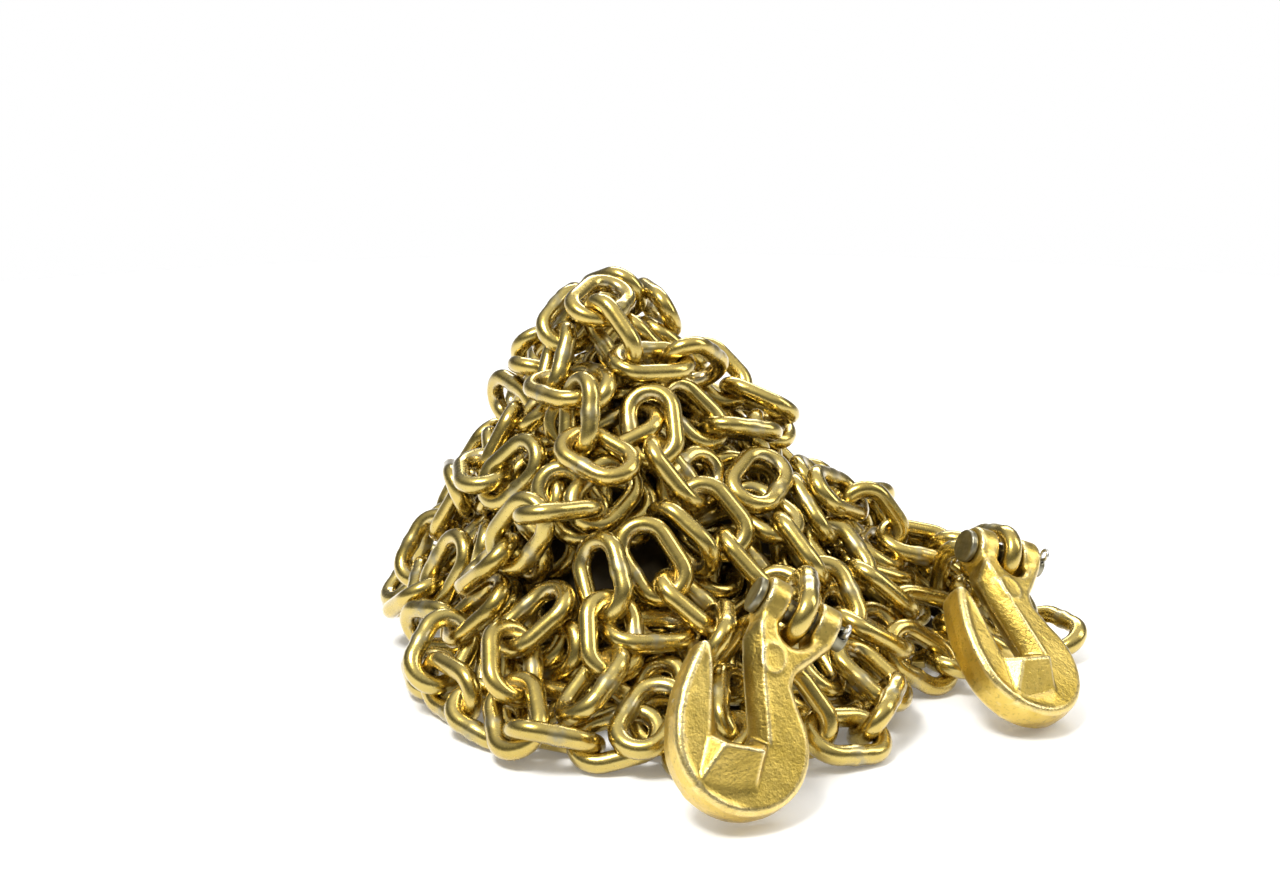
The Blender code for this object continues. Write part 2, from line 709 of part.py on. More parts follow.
def hook_outline():
    """Bowl, horn, slot, shank and the U of the fork, anticlockwise."""
    slot_radius = (SLOT_RIGHT - SLOT_LEFT) / 2
    seat = ((SLOT_LEFT + SLOT_RIGHT) / 2, SLOT_FLOOR + slot_radius)
    throat = FORK_GAP / 2 + EYE_PROUD
    outer = FORK_GAP / 2 + EAR - EYE_PROUD
    throat_middle = fork_point(0, throat - THROAT_DEPTH)
    fork_turn = -math.degrees(FORK_TILT)
    outline = []
    outline += [(x * MM, y * MM) for x, y in ((-14.6, 36.4), (-18.8, 29), (-23.2, 19), (-25.8, 9))]
    outline += arc((0, 0), BOWL_RADIUS, 180, 385, 19)
    outline += [(x * MM, y * MM) for x, y in ((22.4, 17), (21.4, 21.5), (23.6, 26.5), (28.6, 29.8))]
    outline += [fork_point(outer, -EYE_RADIUS), fork_point(outer, 0), fork_point(throat, 0)]
    outline += arc(throat_middle, throat, fork_turn, fork_turn - 180, 8)
    outline += [fork_point(-throat, 0), fork_point(-outer, 0), fork_point(-outer, -EYE_RADIUS)]
    outline += [(x * MM, y * MM) for x, y in ((4.8, 40), (4.2, 28))]
    outline += arc(seat, slot_radius, 0, -180, 8)
    outline += [(x * MM, y * MM) for x, y in ((-8.2, 28), (-9.4, 36.0), (-11.8, 38.0))]
    return outline


def hook_object(name, points, faces, place, finish):
    made = add_object(name, points, faces, finish)
    axes = [place.across, place.up, place.face]
    made.matrix_world = Matrix.Translation(place.bowl) @ Matrix([list(row) for row in zip(*axes)]).to_4x4()
    return made


def inset(outline, amount):
    """The outline moved inwards, an anticlockwise one."""
    corners = np.array(outline)
    run_in = unit(corners - np.roll(corners, 1, axis=0))
    run_out = unit(np.roll(corners, -1, axis=0) - corners)
    inward = np.stack([-(run_in + run_out)[:, 1], (run_in + run_out)[:, 0]], -1)
    scale = 2 / np.maximum((inward * inward).sum(-1), 1.0)
    return corners + amount * scale[:, None] * inward


def plate(outline, half, bevel):
    """A flat outline made into a plate with bevelled rims."""
    inner = inset(outline, bevel)
    rings = [(inner, -half), (outline, bevel - half), (outline, half - bevel), (inner, half)]
    points = [(x, y, depth) for ring, depth in rings for x, y in ring]
    return points, ring_faces(len(rings), len(outline))


def ring_faces(rings, sides):
    """Faces of a closed bar made of rings of points."""
    faces = [tuple(reversed(range(sides))), tuple(range((rings - 1) * sides, rings * sides))]
    for ring in range(rings - 1):
        here, there = ring * sides, (ring + 1) * sides
        faces += [(here + j, here + (j + 1) % sides, there + (j + 1) % sides, there + j)
                  for j in range(sides)]
    return faces


def turned_bar(profile, sides):
    """A round bar on the pin's axis, from (place on the axis, radius) pairs."""
    turns = 2 * math.pi * np.arange(sides) / sides
    points = [(*fork_point(reach, radius * math.cos(turn)), radius * math.sin(turn))
              for reach, radius in profile for turn in turns]
    return points, ring_faces(len(profile), sides)


def wing(side):
    """The raised cradle beside the slot, which falls away to the rim."""
    face = PLATE / 2
    inner = face - 2 * MM
    crest = face + WING_HEIGHT
    corners = [(-10.5, -1.0), (6.5, -3.0), (1.5, -23.0), (-18.5, -14.0)]
    low = [(x * MM, y * MM, side * inner) for x, y in corners]
    high = [(-9.5 * MM, -2.2 * MM, side * crest), (5.2 * MM, -4.0 * MM, side * crest),
            (1.5 * MM, -23.0 * MM, side * (face - MM)), (-18.5 * MM, -14.0 * MM, side * (face - MM))]
    faces = [(0, 1, 2, 3), (7, 6, 5, 4)] + [(i, 4 + i, 4 + (i + 1) % 4, (i + 1) % 4) for i in range(4)]
    if side > 0:
        return low + high, faces
    return low + high, [tuple(reversed(face)) for face in faces]


def build_hook(name, place, finish):
    hook = hook_object(f"grab_hook_{name}", *plate(hook_outline(), PLATE / 2, RIM_BEVEL), place, finish)
    throat, outer = FORK_GAP / 2, FORK_GAP / 2 + EAR
    for side, (start, end) in (("left", (-outer, -throat)), ("right", (throat, outer))):
        bar = turned_bar([(start, EYE_RADIUS), (end, EYE_RADIUS)], ROUND_SIDES)
        eye = hook_object(f"{name}_eye_{side}", *bar, place, finish)
        combine(hook, eye, "UNION")
    for side in (-1, 1):
        made = hook_object(f"{name}_wing_{'back' if side < 0 else 'front'}", *wing(side), place, finish)
        combine(hook, made, "UNION")
    bar = turned_bar([(-outer - MM, PIN_BORE), (outer + MM, PIN_BORE)], ROUND_SIDES)
    combine(hook, hook_object(f"{name}_bore", *bar, place, finish), "DIFFERENCE")


def build_pin(name, place, finish):
    outer = FORK_GAP / 2 + EAR
    head, tail = -outer - GAP, outer + PIN_TAIL
    profile = [
        (head - HEAD_THICKNESS, HEAD_RADIUS - PIN_BEVEL),
        (head - HEAD_THICKNESS + PIN_BEVEL, HEAD_RADIUS),
        (head, HEAD_RADIUS),
        (head, PIN_RADIUS),
        (tail - PIN_BEVEL, PIN_RADIUS),
        (tail, PIN_RADIUS - PIN_BEVEL),
    ]
    pin = hook_object(f"clevis_pin_{name}", *turned_bar(profile, ROUND_SIDES), place, finish)
    turns = 2 * math.pi * (np.arange(HOLE_SIDES) + 0.5) / HOLE_SIDES
    middle = tail - PIN_TAIL / 2
    hole_points = [(*fork_point(middle + SPLIT_HOLE * math.cos(turn), SPLIT_HOLE * math.sin(turn)), depth)
                   for depth in (-2 * PIN_RADIUS, 2 * PIN_RADIUS) for turn in turns]
    hole = hook_object(f"{name}_split_hole", hole_points, ring_faces(2, HOLE_SIDES), place, finish)
    combine(pin, hole, "DIFFERENCE")


def build_split_pin(name, place, finish):
    """Bent round wire: an eye on one side of the pin, two spread legs on the other."""
    leg = SPLIT_WIRE + 0.05 * MM
    eye_radius = 2.2 * MM
    eye_middle = PIN_RADIUS + 1.0 * MM + eye_radius
    path = [(5.2, -8.6), (3.6, -7.4), (1.6, -6.2)]
    path = [(x * MM, z * MM) for x, z in path]
    path += [(leg, -5.2 * MM), (leg, 0.0), (leg, eye_middle - 2.0 * MM)]
    path += arc((0, eye_middle), eye_radius, -40, 220, 9)
    path += [(-leg, eye_middle - 2.0 * MM), (-leg, 0.0), (-leg, -5.2 * MM)]
    path += [(x * MM, z * MM) for x, z in ((-1.6, -6.4), (-3.2, -8.2), (-4.0, -10.2))]
    reach = FORK_GAP / 2 + EAR + PIN_TAIL / 2
    # the wire lies in the plane of the face normal and the fork direction
    flat = np.array([place.at(*fork_point(reach, across), depth) for across, depth in path])
    run = unit(np.gradient(flat, axis=0))
    normals = np.broadcast_to(place.pin, run.shape)
    outward = unit(np.cross(run, normals))
    corners, faces = tube(flat, outward, normals, SPLIT_WIRE, WIRE_SIDES, closed=False)
    add_object(f"split_pin_{name}", corners, faces, finish, smooth=True)


def main():
    for old in list(bpy.data.objects):
        bpy.data.objects.remove(old, do_unlink=True)
    gold = material("gold_zinc_steel", (0.56, 0.39, 0.09), 0.35)
    forged = material("gold_zinc_forging", (0.58, 0.42, 0.12), 0.42)
    grey = material("plain_steel", (0.42, 0.42, 0.40), 0.45)
    shade = material("links_out_of_sight", (0.12, 0.085, 0.025), 0.6, 0.6)
    hooks = {name: HookPlace(**facts) for name, facts in HOOKS.items()}
    strands = lay_chain(hooks)
    build_core(lay_bedded(hooks, strands), shade)
    for index, strand in enumerate(strands):
        build_strand(f"chain_strand_{index + 1:02d}", strand, index < len(hooks), gold)
    for name, place in hooks.items():
        build_hook(name, place, forged)
        build_pin(name, place, grey)
        build_split_pin(name, place, grey)


main()
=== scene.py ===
"""Looks of the heap of short-link chain with a winged clevis grab hook at each of its two ends.

Metres, +Z up, floor at z = 0, seen along +Y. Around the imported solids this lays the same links
again as round wire, fills the middle of the heap with more of them, and forges both hooks.
"""
import math

import bpy
import numpy as np
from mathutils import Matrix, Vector


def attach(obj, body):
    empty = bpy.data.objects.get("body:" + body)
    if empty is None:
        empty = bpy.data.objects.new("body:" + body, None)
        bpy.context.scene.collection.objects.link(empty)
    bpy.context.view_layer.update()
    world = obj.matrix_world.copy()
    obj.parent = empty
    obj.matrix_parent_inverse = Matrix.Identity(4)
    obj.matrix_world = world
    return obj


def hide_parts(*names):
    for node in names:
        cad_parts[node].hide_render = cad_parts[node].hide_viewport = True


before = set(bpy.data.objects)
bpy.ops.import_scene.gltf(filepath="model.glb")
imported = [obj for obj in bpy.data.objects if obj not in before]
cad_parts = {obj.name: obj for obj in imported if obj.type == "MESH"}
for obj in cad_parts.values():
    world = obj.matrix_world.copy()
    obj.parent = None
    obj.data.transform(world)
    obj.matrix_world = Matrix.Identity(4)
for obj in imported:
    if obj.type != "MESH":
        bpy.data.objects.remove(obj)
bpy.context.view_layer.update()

MM = 0.001

# Chain: 8 mm wire, 24 mm pitch
WIRE = 8 * MM
PITCH = 24 * MM
INSIDE_WIDTH = 11 * MM
LINK_HALF_WIDTH = (INSIDE_WIDTH + WIRE) / 2
REACH = PITCH + WIRE                      # middle of one crown to middle of the other
HALF_STRAIGHT = REACH / 2 - LINK_HALF_WIDTH
HOLD = WIRE - 0.60 * MM                   # between two crown middles; a strand's links are fused there
CROWN_STEPS = 4

# Heap: rounded mounds as (middle x, y, top, run left, run right, run front, run back)
MOUNDS = [
    (-0.048, 0.085, 0.168, 0.098, 0.133, 0.190, 0.100),
    (0.025, 0.060, 0.092, 0.110, 0.105, 0.175, 0.095),
    (0.088, 0.052, 0.058, 0.100, 0.075, 0.080, 0.075),
    (-0.025, -0.045, 0.052, 0.068, 0.110, 0.076, 0.090),
]
BLUNT = 0.25                              # how round a mound's top is
BLEND = 5                                 # how sharply mounds meet
LAYER = 26 * MM                           # depth of the links modelled one by one
BED = 34 * MM                             # a bedded link may sink this far below the core

# Laying rule
SEED = 8
LINK_TARGET = 142
STRAND_LENGTH = 6
SHORTEST_STRAND = 3
SEAT_TRIES = 60
CLEARANCE = 0.15 * MM
DROP = 0.1 * MM                           # step in which a whole strand is let down
SEATED = -0.12 * MM                       # round bars may meet a little: faceted ones then just touch
SLACK = 1.6 * MM                          # how much closer than at their crowns two links may come
GRID_LOW = np.array([-0.210, -0.200, -0.005])
GRID_HIGH = np.array([0.210, 0.240, 0.215])
CELL = 2.5 * MM
SEATS_TRIED = 4
HEADING_WEIGHT = 10 * MM                  # a strand rather starts level or downhill
YAWS = np.radians(np.arange(-80, 81, 10))
PITCHES = np.radians(np.arange(-80, 66, 7.5))
ROLLS = np.radians(np.arange(0, 180, 15))
STEEPEST_BEND = math.cos(math.radians(78))
LEAST_CROSSING = math.sin(math.radians(55))
LEAST_PULL = 0.30
LOW_WEIGHT, HIGH_WEIGHT, GOAL_WEIGHT, BEND_WEIGHT, CHANCE = 30, 150, 6, 0.25, 0.12
HIGHEST_IN_HEAP = 3 * MM                  # a free strand ends when its next link would lie higher
HIGHEST_AT_HOOK = 30 * MM
HOOK_KEEP_OFF = 14 * MM                   # around a place where no strand could start
LEAST_BARE = 11 * MM                      # a place is full once the heap lacks less
FIRST_WAYS = 60
FIRST_LIFTS = np.arange(0, 22 * MM, 0.5 * MM)
FIRST_PITCH_SHIFT = 0.25
OPEN_ROOM = 4 * WIRE                      # room noted where no core lies below
TAKE_MARGIN = 1.4 * WIRE                  # how far around a bar the grid is brought up to date
BARE_REACH = 4                            # grid cells each way over which bareness is averaged
YAW_SHIFT, PITCH_SHIFT, ROLL_SHIFT = 0.1, 0.07, 0.18    # most by which the tried angles shift at random
TOO_UPRIGHT = 0.04                        # squared level part of a link that stands too steeply to sink
SINK_TURN, SINK_ROUNDS = math.radians(-5), 7
GOAL_BARE, GOAL_AWAY, GOAL_BACK = 3, 0.35, 0.15         # what counts for and against a goal
BACK_FROM = 0.10                          # y from which a goal counts as behind
GOAL_CHANCE = 0.006
LEAST_GOAL = 0.006                        # a goal lacks at least this much
NO_GOAL = -9
GOAL_REACHED = 22 * MM
GOAL_STEPS = 5                            # links laid before a new goal is picked

# Links tucked in at the barest places
LACK_SHARES = (0.3, 1)                    # random share by which a place's bareness counts
BARRED_SHARE = 0.5                        # what a place still counts where no link found room

# Links bedded in the core
BEDDED_TARGET = 58
BEDDED_TRIES = 260
BEDDED_WAYS = 90
BEDDED_SPREAD = 8 * MM
BEDDED_TILT, BEDDED_TURN_OVER = 0.35, 0.60          # usual angles from lying flat
BEDDED_DEPTHS = np.arange(LAYER - 9 * MM, LAYER + 9 * MM, 2 * MM)
BEDDED_CLEARANCE = 0.3 * MM
BEDDED_SUNK = (0.25, 0.70)                # share of a bedded link that lies under the core's surface

# Hook, in its own frame: X across, Y up the slot, Z out of the face, origin in the bowl
BOWL_RADIUS = 26.5 * MM
PLATE = 14 * MM
EYE_PROUD = 0.4 * MM                      # the eyes' end faces stand this far out of the plate
SLOT_LEFT, SLOT_RIGHT, SLOT_FLOOR = -8.0 * MM, 4.5 * MM, -1.3 * MM
FORK_TILT = math.radians(24)
PIN_SEAT = (27.6 * MM, 50.8 * MM)
PIN_RADIUS = 4.75 * MM
PIN_BORE = PIN_RADIUS + 0.3 * MM
EYE_RADIUS = 9.2 * MM
FORK_GAP = 12.4 * MM
EAR = 9 * MM
THROAT_DEPTH = 14.6 * MM
WING_HEIGHT = 5.5 * MM
HEAD_RADIUS, HEAD_THICKNESS = 7 * MM, 3.2 * MM
PIN_TAIL = 5.5 * MM                       # pin beyond the second ear
PIN_BEVEL = 0.8 * MM
SPLIT_HOLE = 1.9 * MM                     # radius of the cross hole
SPLIT_WIRE = 0.75 * MM                    # radius of one leg
GAP = 0.3 * MM
BOWL_ARC = (180, 385)                     # degrees
# corners of the outline, in mm: horn, back of the shank, shank beside the slot, tip of the horn
HORN_CORNERS = ((-14.6, 36.4), (-18.8, 29), (-23.2, 19), (-25.8, 9))
BACK_CORNERS = ((22.4, 17), (21.4, 21.5), (23.6, 26.5), (28.6, 29.8))
SHANK_CORNERS = ((4.8, 40), (4.2, 28))
TIP_CORNERS = ((-8.2, 28), (-9.4, 36.0), (-11.8, 38.0))
# a hook's room as round bars: a ring for the bowl, bars as (radius, corners) in mm, and the ears
RING_RADIUS, RING_BAR = 18 * MM, 9 * MM
HOOK_BARS = [
    (9, ((-5, -6), (6, -6))),
    (7, ((-18, 2), (-12, 30))),
    (8.5, ((14, 5), (16, 35), (18, 55))),
    (8.5, ((26, 32), (37, 46.5))),
]
EAR_REACHES = (7 * MM, 20 * MM)

# Where each hook lies: bowl middle, across and up-slot directions, and how far its end link leans back
HOOKS = {
    "front": dict(bowl=(0.0043, -0.1325, 0.0258), across=(0.929, 0.311, -0.198),
                  up=(-0.040, 0.619, 0.784), lean=math.radians(35), strand=7),
    "right": dict(bowl=(0.1220, -0.0481, 0.0231), across=(0.790, 0.606, -0.090),
                  up=(-0.416, 0.638, 0.647), lean=math.radians(50), strand=6),
}

# Links deep within the heap
DEEP_LAYER = 40 * MM                      # measured square to the heap's surface
# passes as (first depth, last depth, least room, tries, whether they lie on the floor); on the floor the
# depths are heights. Room is only tested at the corners of a link's middle line, and less than nothing
# lets links run into each other: along their straights they do so by almost a wire's thickness
WITHIN_PASSES = [
    (6 * MM, 20 * MM, -1.0 * MM, 100, False),
    (6 * MM, 35 * MM, -1.0 * MM, 200, False),
    (16 * MM, 38 * MM, -3.5 * MM, 180, False),
    (5 * MM, 22 * MM, -2.5 * MM, 110, True),
]
FOOT_HEIGHT = 60 * MM                     # the heap's foot is where it is lower
POCKET_WAYS = 120
POCKET_SPREAD = 7 * MM
POCKET_TILT, POCKET_TURN_OVER = 0.22, 0.35
POCKET_STEP = 2 * MM
SHADOW_DEPTH = 37 * MM                    # how deep the dark lump lies
SHADOW_MIDDLE = (-0.030, 0.060)
SHADOW_RINGS, SHADOW_SIDES = 40, 96
SHADOW_REACHES = np.arange(0.0, 0.25, 0.5 * MM)
SLOPE_STEP = 2 * MM

# Fine form of the links
LINK_RINGS = 40
LINK_SIDES = 16
WELD_BULGE = 0.35 * MM
WELD_WIDTH = 2.2 * MM
WELD_OFF = 0.6 * MM                       # usual distance of a weld from the middle of its straight
NOTCH_DEPTH, NOTCH_AT, NOTCH_WIDTH = 0.12 * MM, 1.7 * WELD_WIDTH, 0.5 * WELD_WIDTH
WELD_STAIN = 1.5 * WELD_WIDTH
WORN_FROM = 0.2                           # how far round to the link's inside the wear starts

# Fine form of the hooks
FORGE_STEP = 0.6 * MM
FORGE_LOW = np.array([-29.0, -29.0, -14.5]) * MM
FORGE_HIGH = np.array([47.0, 68.0, 14.5]) * MM
RIM_ROUND = 2.4 * MM
RIM_WIDTH = 3.0 * MM
RECESS, RECESS_EDGE = 0.7 * MM, 1.6 * MM
HORN_FADE = (-3 * MM, 6 * MM)             # the horn's recess fades in over this, counted leftwards
DRAFT = 0.10
FACET_DEPTH = 5.2 * MM
HORN_FACET, HORN_FACET_MORE = 2.2 * MM, 4.2 * MM        # width at the tip, and how much wider below
HORN_FACET_RUN = (-0.036, 0.010)
HORN_FACET_FROM, SHANK_FACET_FROM = -2 * MM, -1 * MM    # lowest y of the facets
HORN_FACET_OVER = MM                      # how far past the slot's edge the horn's facet is cut
SHANK_FACET = 4.8 * MM
SHANK_FACET_ENDS = (1.5 * MM, 7 * MM)     # how far into the slot and into the shank its facet is cut
RIDGE_AT, RIDGE_WIDTH, RIDGE_HEIGHT = 5.4 * MM, 0.9 * MM, 0.45 * MM
RIDGE_FOOT, RIDGE_HEAD = (-0.003, 0.002), (-0.052, -0.044)
SHANK_LEAN, SHANK_LEAN_BACK = 0.3 * MM, 0.6 * MM
LEAN_RUN, LEAN_BACK_RUN = (0, 0.028), (0.028, 0.040)
BOSS = (13.5 * MM, 31.5 * MM)
BOSS_RADII = (4.6 * MM, 5.6 * MM)
BOSS_RIM, BOSS_RIM_WIDTH, BOSS_RISE = 0.55 * MM, 0.14, 0.15 * MM
CRADLE_FOOT = PLATE / 2 - 1.2 * MM
CRADLE_CREST = ((-9.9, -2.4), (5.4, -4.0))              # left and right end, in mm
CRADLE_FEET = ((-18.8, -13.6), (1.7, -23.4))            # where the slopes end, in mm
CRADLE_SIDES = ((-15.5, -2.0), (7.6, -6.0), (-1.5, 1.0))    # left, right and upper foot, in mm
CRADLE_INSET, CRADLE_ROUND, CRADLE_BLEND = 0.3 * MM, 1.2 * MM, 1.0 * MM
CRADLE_SQUARE = 0.80                      # turns a height over the slopes into a distance to them
EYE_ROUND, EYE_BLEND = 1.6 * MM, 2.2 * MM
UNEVENNESS = 0.05 * MM
SLOT_FADE = 2 * MM
SLOT_SHADE = (4 * MM, 6 * MM)             # right of the slot, where its painted shade starts to fade and ends
ARC_STEPS = 24
OUTLINE_SOFTENING, HEIGHT_SOFTENING = 5, 2    # rounds of blurring

# Fine form of the pins
PIN_STEP = 0.35 * MM
PIN_FIELD_LOW = np.array([-21.0, -9.0, -9.0]) * MM
PIN_FIELD_HIGH = np.array([23.0, 9.0, 9.0]) * MM
PIN_UNEVENNESS = 0.04 * MM
HEAD_ROUND, HEAD_OVERLAP = 1.0 * MM, 1.2 * MM
SPLIT_SIDES = 12
SPLIT_EYE = 2.2 * MM                      # radius of the split pin's eye
SPLIT_EYE_PROUD = 1.0 * MM
SPLIT_EYE_NECK = 2.0 * MM
SPLIT_EYE_ARC, SPLIT_EYE_STEPS = (-40, 220), 9
SPLIT_LEG_OFF = 0.05 * MM                 # how far each leg stays off the middle
SPLIT_LEG_END = -5.2 * MM
SPLIT_TIP = 0.3 * SPLIT_WIRE
SPLIT_LEGS = (((5.2, -8.6), (3.6, -7.4), (1.6, -6.2)),
              ((-1.6, -6.4), (-3.2, -8.2), (-4.0, -10.2)))    # bent ends of the legs, in mm

# Camera and studio
IMAGE_WIDTH = 1280
FOCAL_PIXELS = 1730
SENSOR = 36
CAMERA_PLACE = (-0.03, -0.70, 0.28)
CAMERA_DIP = math.radians(14)
FLOOR_REACH = 1.3
FLOOR_GLOW = 0.14
FLOOR_RINGS, FLOOR_SIDES = 24, 96
WORLD_STRENGTH = 1.0
# shades from low to high as (height, brightness)
WORLD_SHADES = ((0.03, 1.0), (0.07, 0.12), (0.36, 0.10), (0.56, 0.32), (1.0, 0.36))
# lights as (place, aim, size, power, colour)
LIGHTS = {
    "key_light": ((-0.5, -0.5, 1.4), (0.0, 0.0, 0.05), (0.5, 0.4), 21, (1.0, 0.99, 0.96)),
    "side_light": ((1.05, -0.05, 0.85), (0.05, 0.0, 0.05), (0.35, 0.9), 5, (1.0, 0.99, 0.97)),
    "back_light": ((0.2, 1.2, 1.1), (0.0, 0.15, 0.05), (1.2, 0.4), 11, (0.98, 0.99, 1.0)),
}
LOOK_SEED = 11                            # for each link's tone and weld
COAT_ROUGHNESS = 0.10


def unit(vector):
    return vector / np.sqrt((vector * vector).sum(-1, keepdims=True))


def in_mm(corners):
    return [(x * MM, y * MM) for x, y in corners]


# Shape of the heap

def mound(x, y, middle_x, middle_y, top, left, right, front, back):
    run_x = np.where(x < middle_x, left, right)
    run_y = np.where(y < middle_y, front, back)
    out = np.sqrt(((x - middle_x) / run_x) ** 2 + ((y - middle_y) / run_y) ** 2)
    soft = np.sqrt(out ** 2 + BLUNT ** 2) - BLUNT
    return top * (1 - soft / (math.sqrt(1 + BLUNT ** 2) - BLUNT))


def heap_height(x, y):
    heights = [np.maximum(mound(x, y, *shape), 0) for shape in MOUNDS]
    return sum(height ** BLEND for height in heights) ** (1 / BLEND)


def core_height(x, y):
    return heap_height(x, y) - LAYER


# One link

def link_path(crown_steps, spacing=1.0):
    """Closed middle line of a link as (along, across) from the link's middle."""
    corners = []
    for end in (1, -1):
        for step in range(crown_steps + 1):
            turn = -math.pi / 2 + math.pi * step / crown_steps
            corners.append((end * (HALF_STRAIGHT + LINK_HALF_WIDTH * math.cos(turn)),
                            end * LINK_HALF_WIDTH * math.sin(turn)))
    path = []
    for here, there in zip(corners, corners[1:] + corners[:1]):
        here, there = np.array(here), np.array(there)
        parts = max(1, round(math.dist(here, there) / spacing))
        path += [here + (there - here) * part / parts for part in range(parts)]
    return np.array(path)


ROUND_PATH = link_path(8)
PLAIN_PATH = link_path(CROWN_STEPS)
FINE_PATH = link_path(12)
TEST_PATH = np.concatenate([link_path(8, 3.4 * MM), link_path(CROWN_STEPS, 3.8 * MM)])


class Link:
    """A link from the middle of its first crown, with its long and its wide direction."""

    def __init__(self, start, along, across):
        self.start, self.along, self.across = start, along, across
        self.end = start + along * REACH

    def place(self, path):
        return self.start + (path[:, :1] + REACH / 2) * self.along + path[:, 1:] * self.across


# Room on the heap

class Room:
    """Free room around each grid point for the middle of a wire, and how high the heap is filled.

    The core lies at a depth below the heap's surface, straight down or square to it.
    """

    def __init__(self, depth, square=False):
        axes = grid_axes(GRID_LOW, GRID_HIGH, CELL)
        self.last_cell = np.array([len(axis) - 2 for axis in axes])
        self.points = np.stack(np.meshgrid(*axes, indexing="ij"), -1)
        self.x, self.y = self.points[:, :, 0, 0], self.points[:, :, 0, 1]
        height = self.points[..., 2]
        self.target = heap_height(self.x, self.y)
        slope_x, slope_y = np.gradient(self.target, CELL)
        self.slant = np.sqrt(1 + slope_x ** 2 + slope_y ** 2)
        self.normal = np.stack([-slope_x, -slope_y, np.ones(slope_x.shape)], -1) / self.slant[..., None]
        core = self.target - depth * (self.slant if square else 1)
        over_core = (height - core[..., None]) / self.slant[..., None] - WIRE / 2
        over_core[core < -LAYER / 2] = OPEN_ROOM
        self.free = np.minimum(over_core, height - WIRE / 2 + SEATED)
        self.filled = np.maximum(core, 0)
        self.in_heap = self.target > WIRE

    def snapshot(self):
        return self.free.copy(), self.filled.copy()

    def restore(self, kept):
        self.free, self.filled = kept

    def around(self, points):
        """Room between the grid points, by straight-line blending."""
        place = (points - GRID_LOW) / CELL
        cell = np.clip(np.floor(place).astype(int), 0, self.last_cell)
        fx, fy, fz = np.moveaxis(place - cell, -1, 0)
        x, y, z = np.moveaxis(cell, -1, 0)

        def row(y, z):
            return self.free[x, y, z] * (1 - fx) + self.free[x + 1, y, z] * fx

        low = row(y, z) * (1 - fy) + row(y + 1, z) * fy
        high = row(y, z + 1) * (1 - fy) + row(y + 1, z + 1) * fy
        return low * (1 - fz) + high * fz

    def column(self, points):
        cell = np.round((points[..., :2] - GRID_LOW[:2]) / CELL).astype(int)
        cell = np.clip(cell, 0, self.last_cell[:2])
        return cell[..., 0], cell[..., 1]

    def surface_at(self, points):
        return self.target[self.column(points)]

    def take(self, points, radius, closed):
        """Takes up the room of a bent bar."""
        starts, ends = (points, np.roll(points, -1, axis=0)) if closed else (points[:-1], points[1:])
        margin = radius + TAKE_MARGIN
        low = np.floor((points.min(0) - margin - GRID_LOW) / CELL).astype(int)
        high = np.ceil((points.max(0) + margin - GRID_LOW) / CELL).astype(int)
        low, high = np.clip(low, 0, self.last_cell), np.clip(high, 1, self.last_cell + 2)
        block = tuple(slice(low[k], high[k]) for k in range(3))
        cells = self.points[block]
        nearest = np.ones(cells.shape[:3])
        for start, end in zip(starts, ends):
            run = end - start
            share = np.clip(((cells - start) * run).sum(-1) / (run * run).sum(), 0, 1)
            away = cells - start - share[..., None] * run
            nearest = np.minimum(nearest, (away * away).sum(-1))
        nearest = np.sqrt(nearest)
        self.free[block] = np.minimum(self.free[block], nearest - radius - WIRE / 2)
        tops = np.where(nearest < radius, cells[..., 2], 0).max(2)
        self.filled[block[:2]] = np.maximum(self.filled[block[:2]], tops)

    def take_link(self, link):
        self.take(link.place(ROUND_PATH), WIRE / 2, closed=True)
        self.take(link.place(PLAIN_PATH), WIRE / 2, closed=True)

    def bareness(self):
        """How much each part of the heap still lacks, averaged over about a link's width."""
        bare = np.clip(self.target - self.filled, 0, LAYER) * self.in_heap
        shifts = range(-BARE_REACH, BARE_REACH + 1)
        for axis in (0, 1):
            bare = sum(np.roll(bare, shift, axis) for shift in shifts) / len(shifts)
        return bare

    def away_from(self, place):
        return np.hypot(self.x - place[0], self.y - place[1])

    def place_of(self, cell):
        return np.array([self.x[cell], self.y[cell]])


def highest(score):
    """The cell in which a score is highest."""
    return np.unravel_index(int(np.argmax(score)), score.shape)


def room_beside(hooks, links, depth, square=False):
    """Room on the core with the hooks and some links in place."""
    room = Room(depth, square)
    for hook in hooks.values():
        hook.take_room(room)
    for link in links:
        room.take_link(link)
    return room


# Laying rule

def directions(yaw, pitch, roll):
    along = np.stack([np.cos(pitch) * np.cos(yaw), np.cos(pitch) * np.sin(yaw), np.sin(pitch)], -1)
    level = np.stack([-np.sin(yaw), np.cos(yaw), 0 * yaw], -1)
    upright = np.cross(along, level)
    return along, np.cos(roll)[..., None] * level + np.sin(roll)[..., None] * upright


def pull_between(last, along, across):
    """Direction in which a link pulls on the last one, and how square their wires cross."""
    pull = np.cross(last.across, across)
    crossing = np.sqrt((pull * pull).sum(-1))
    pull = pull / np.maximum(crossing, 1e-6)[..., None]
    return pull * np.sign((pull * (last.along + along)).sum(-1))[..., None], crossing


def hangs(last, along, pull, crossing):
    """Whether two links can bear on each other crown in crown."""
    fits = (crossing > LEAST_CROSSING) & ((along * last.along).sum(-1) > STEEPEST_BEND)
    return fits & ((pull * last.along).sum(-1) > LEAST_PULL) & ((pull * along).sum(-1) > LEAST_PULL)


def least_distance(points, loop):
    """Smallest distance of some points to a closed middle line."""
    run = np.roll(loop, -1, axis=0) - loop
    from_start = points[:, None] - loop
    share = np.clip((from_start * run).sum(-1) / (run * run).sum(-1), 0, 1)
    away = from_start - share[..., None] * run
    return math.sqrt((away * away).sum(-1).min())


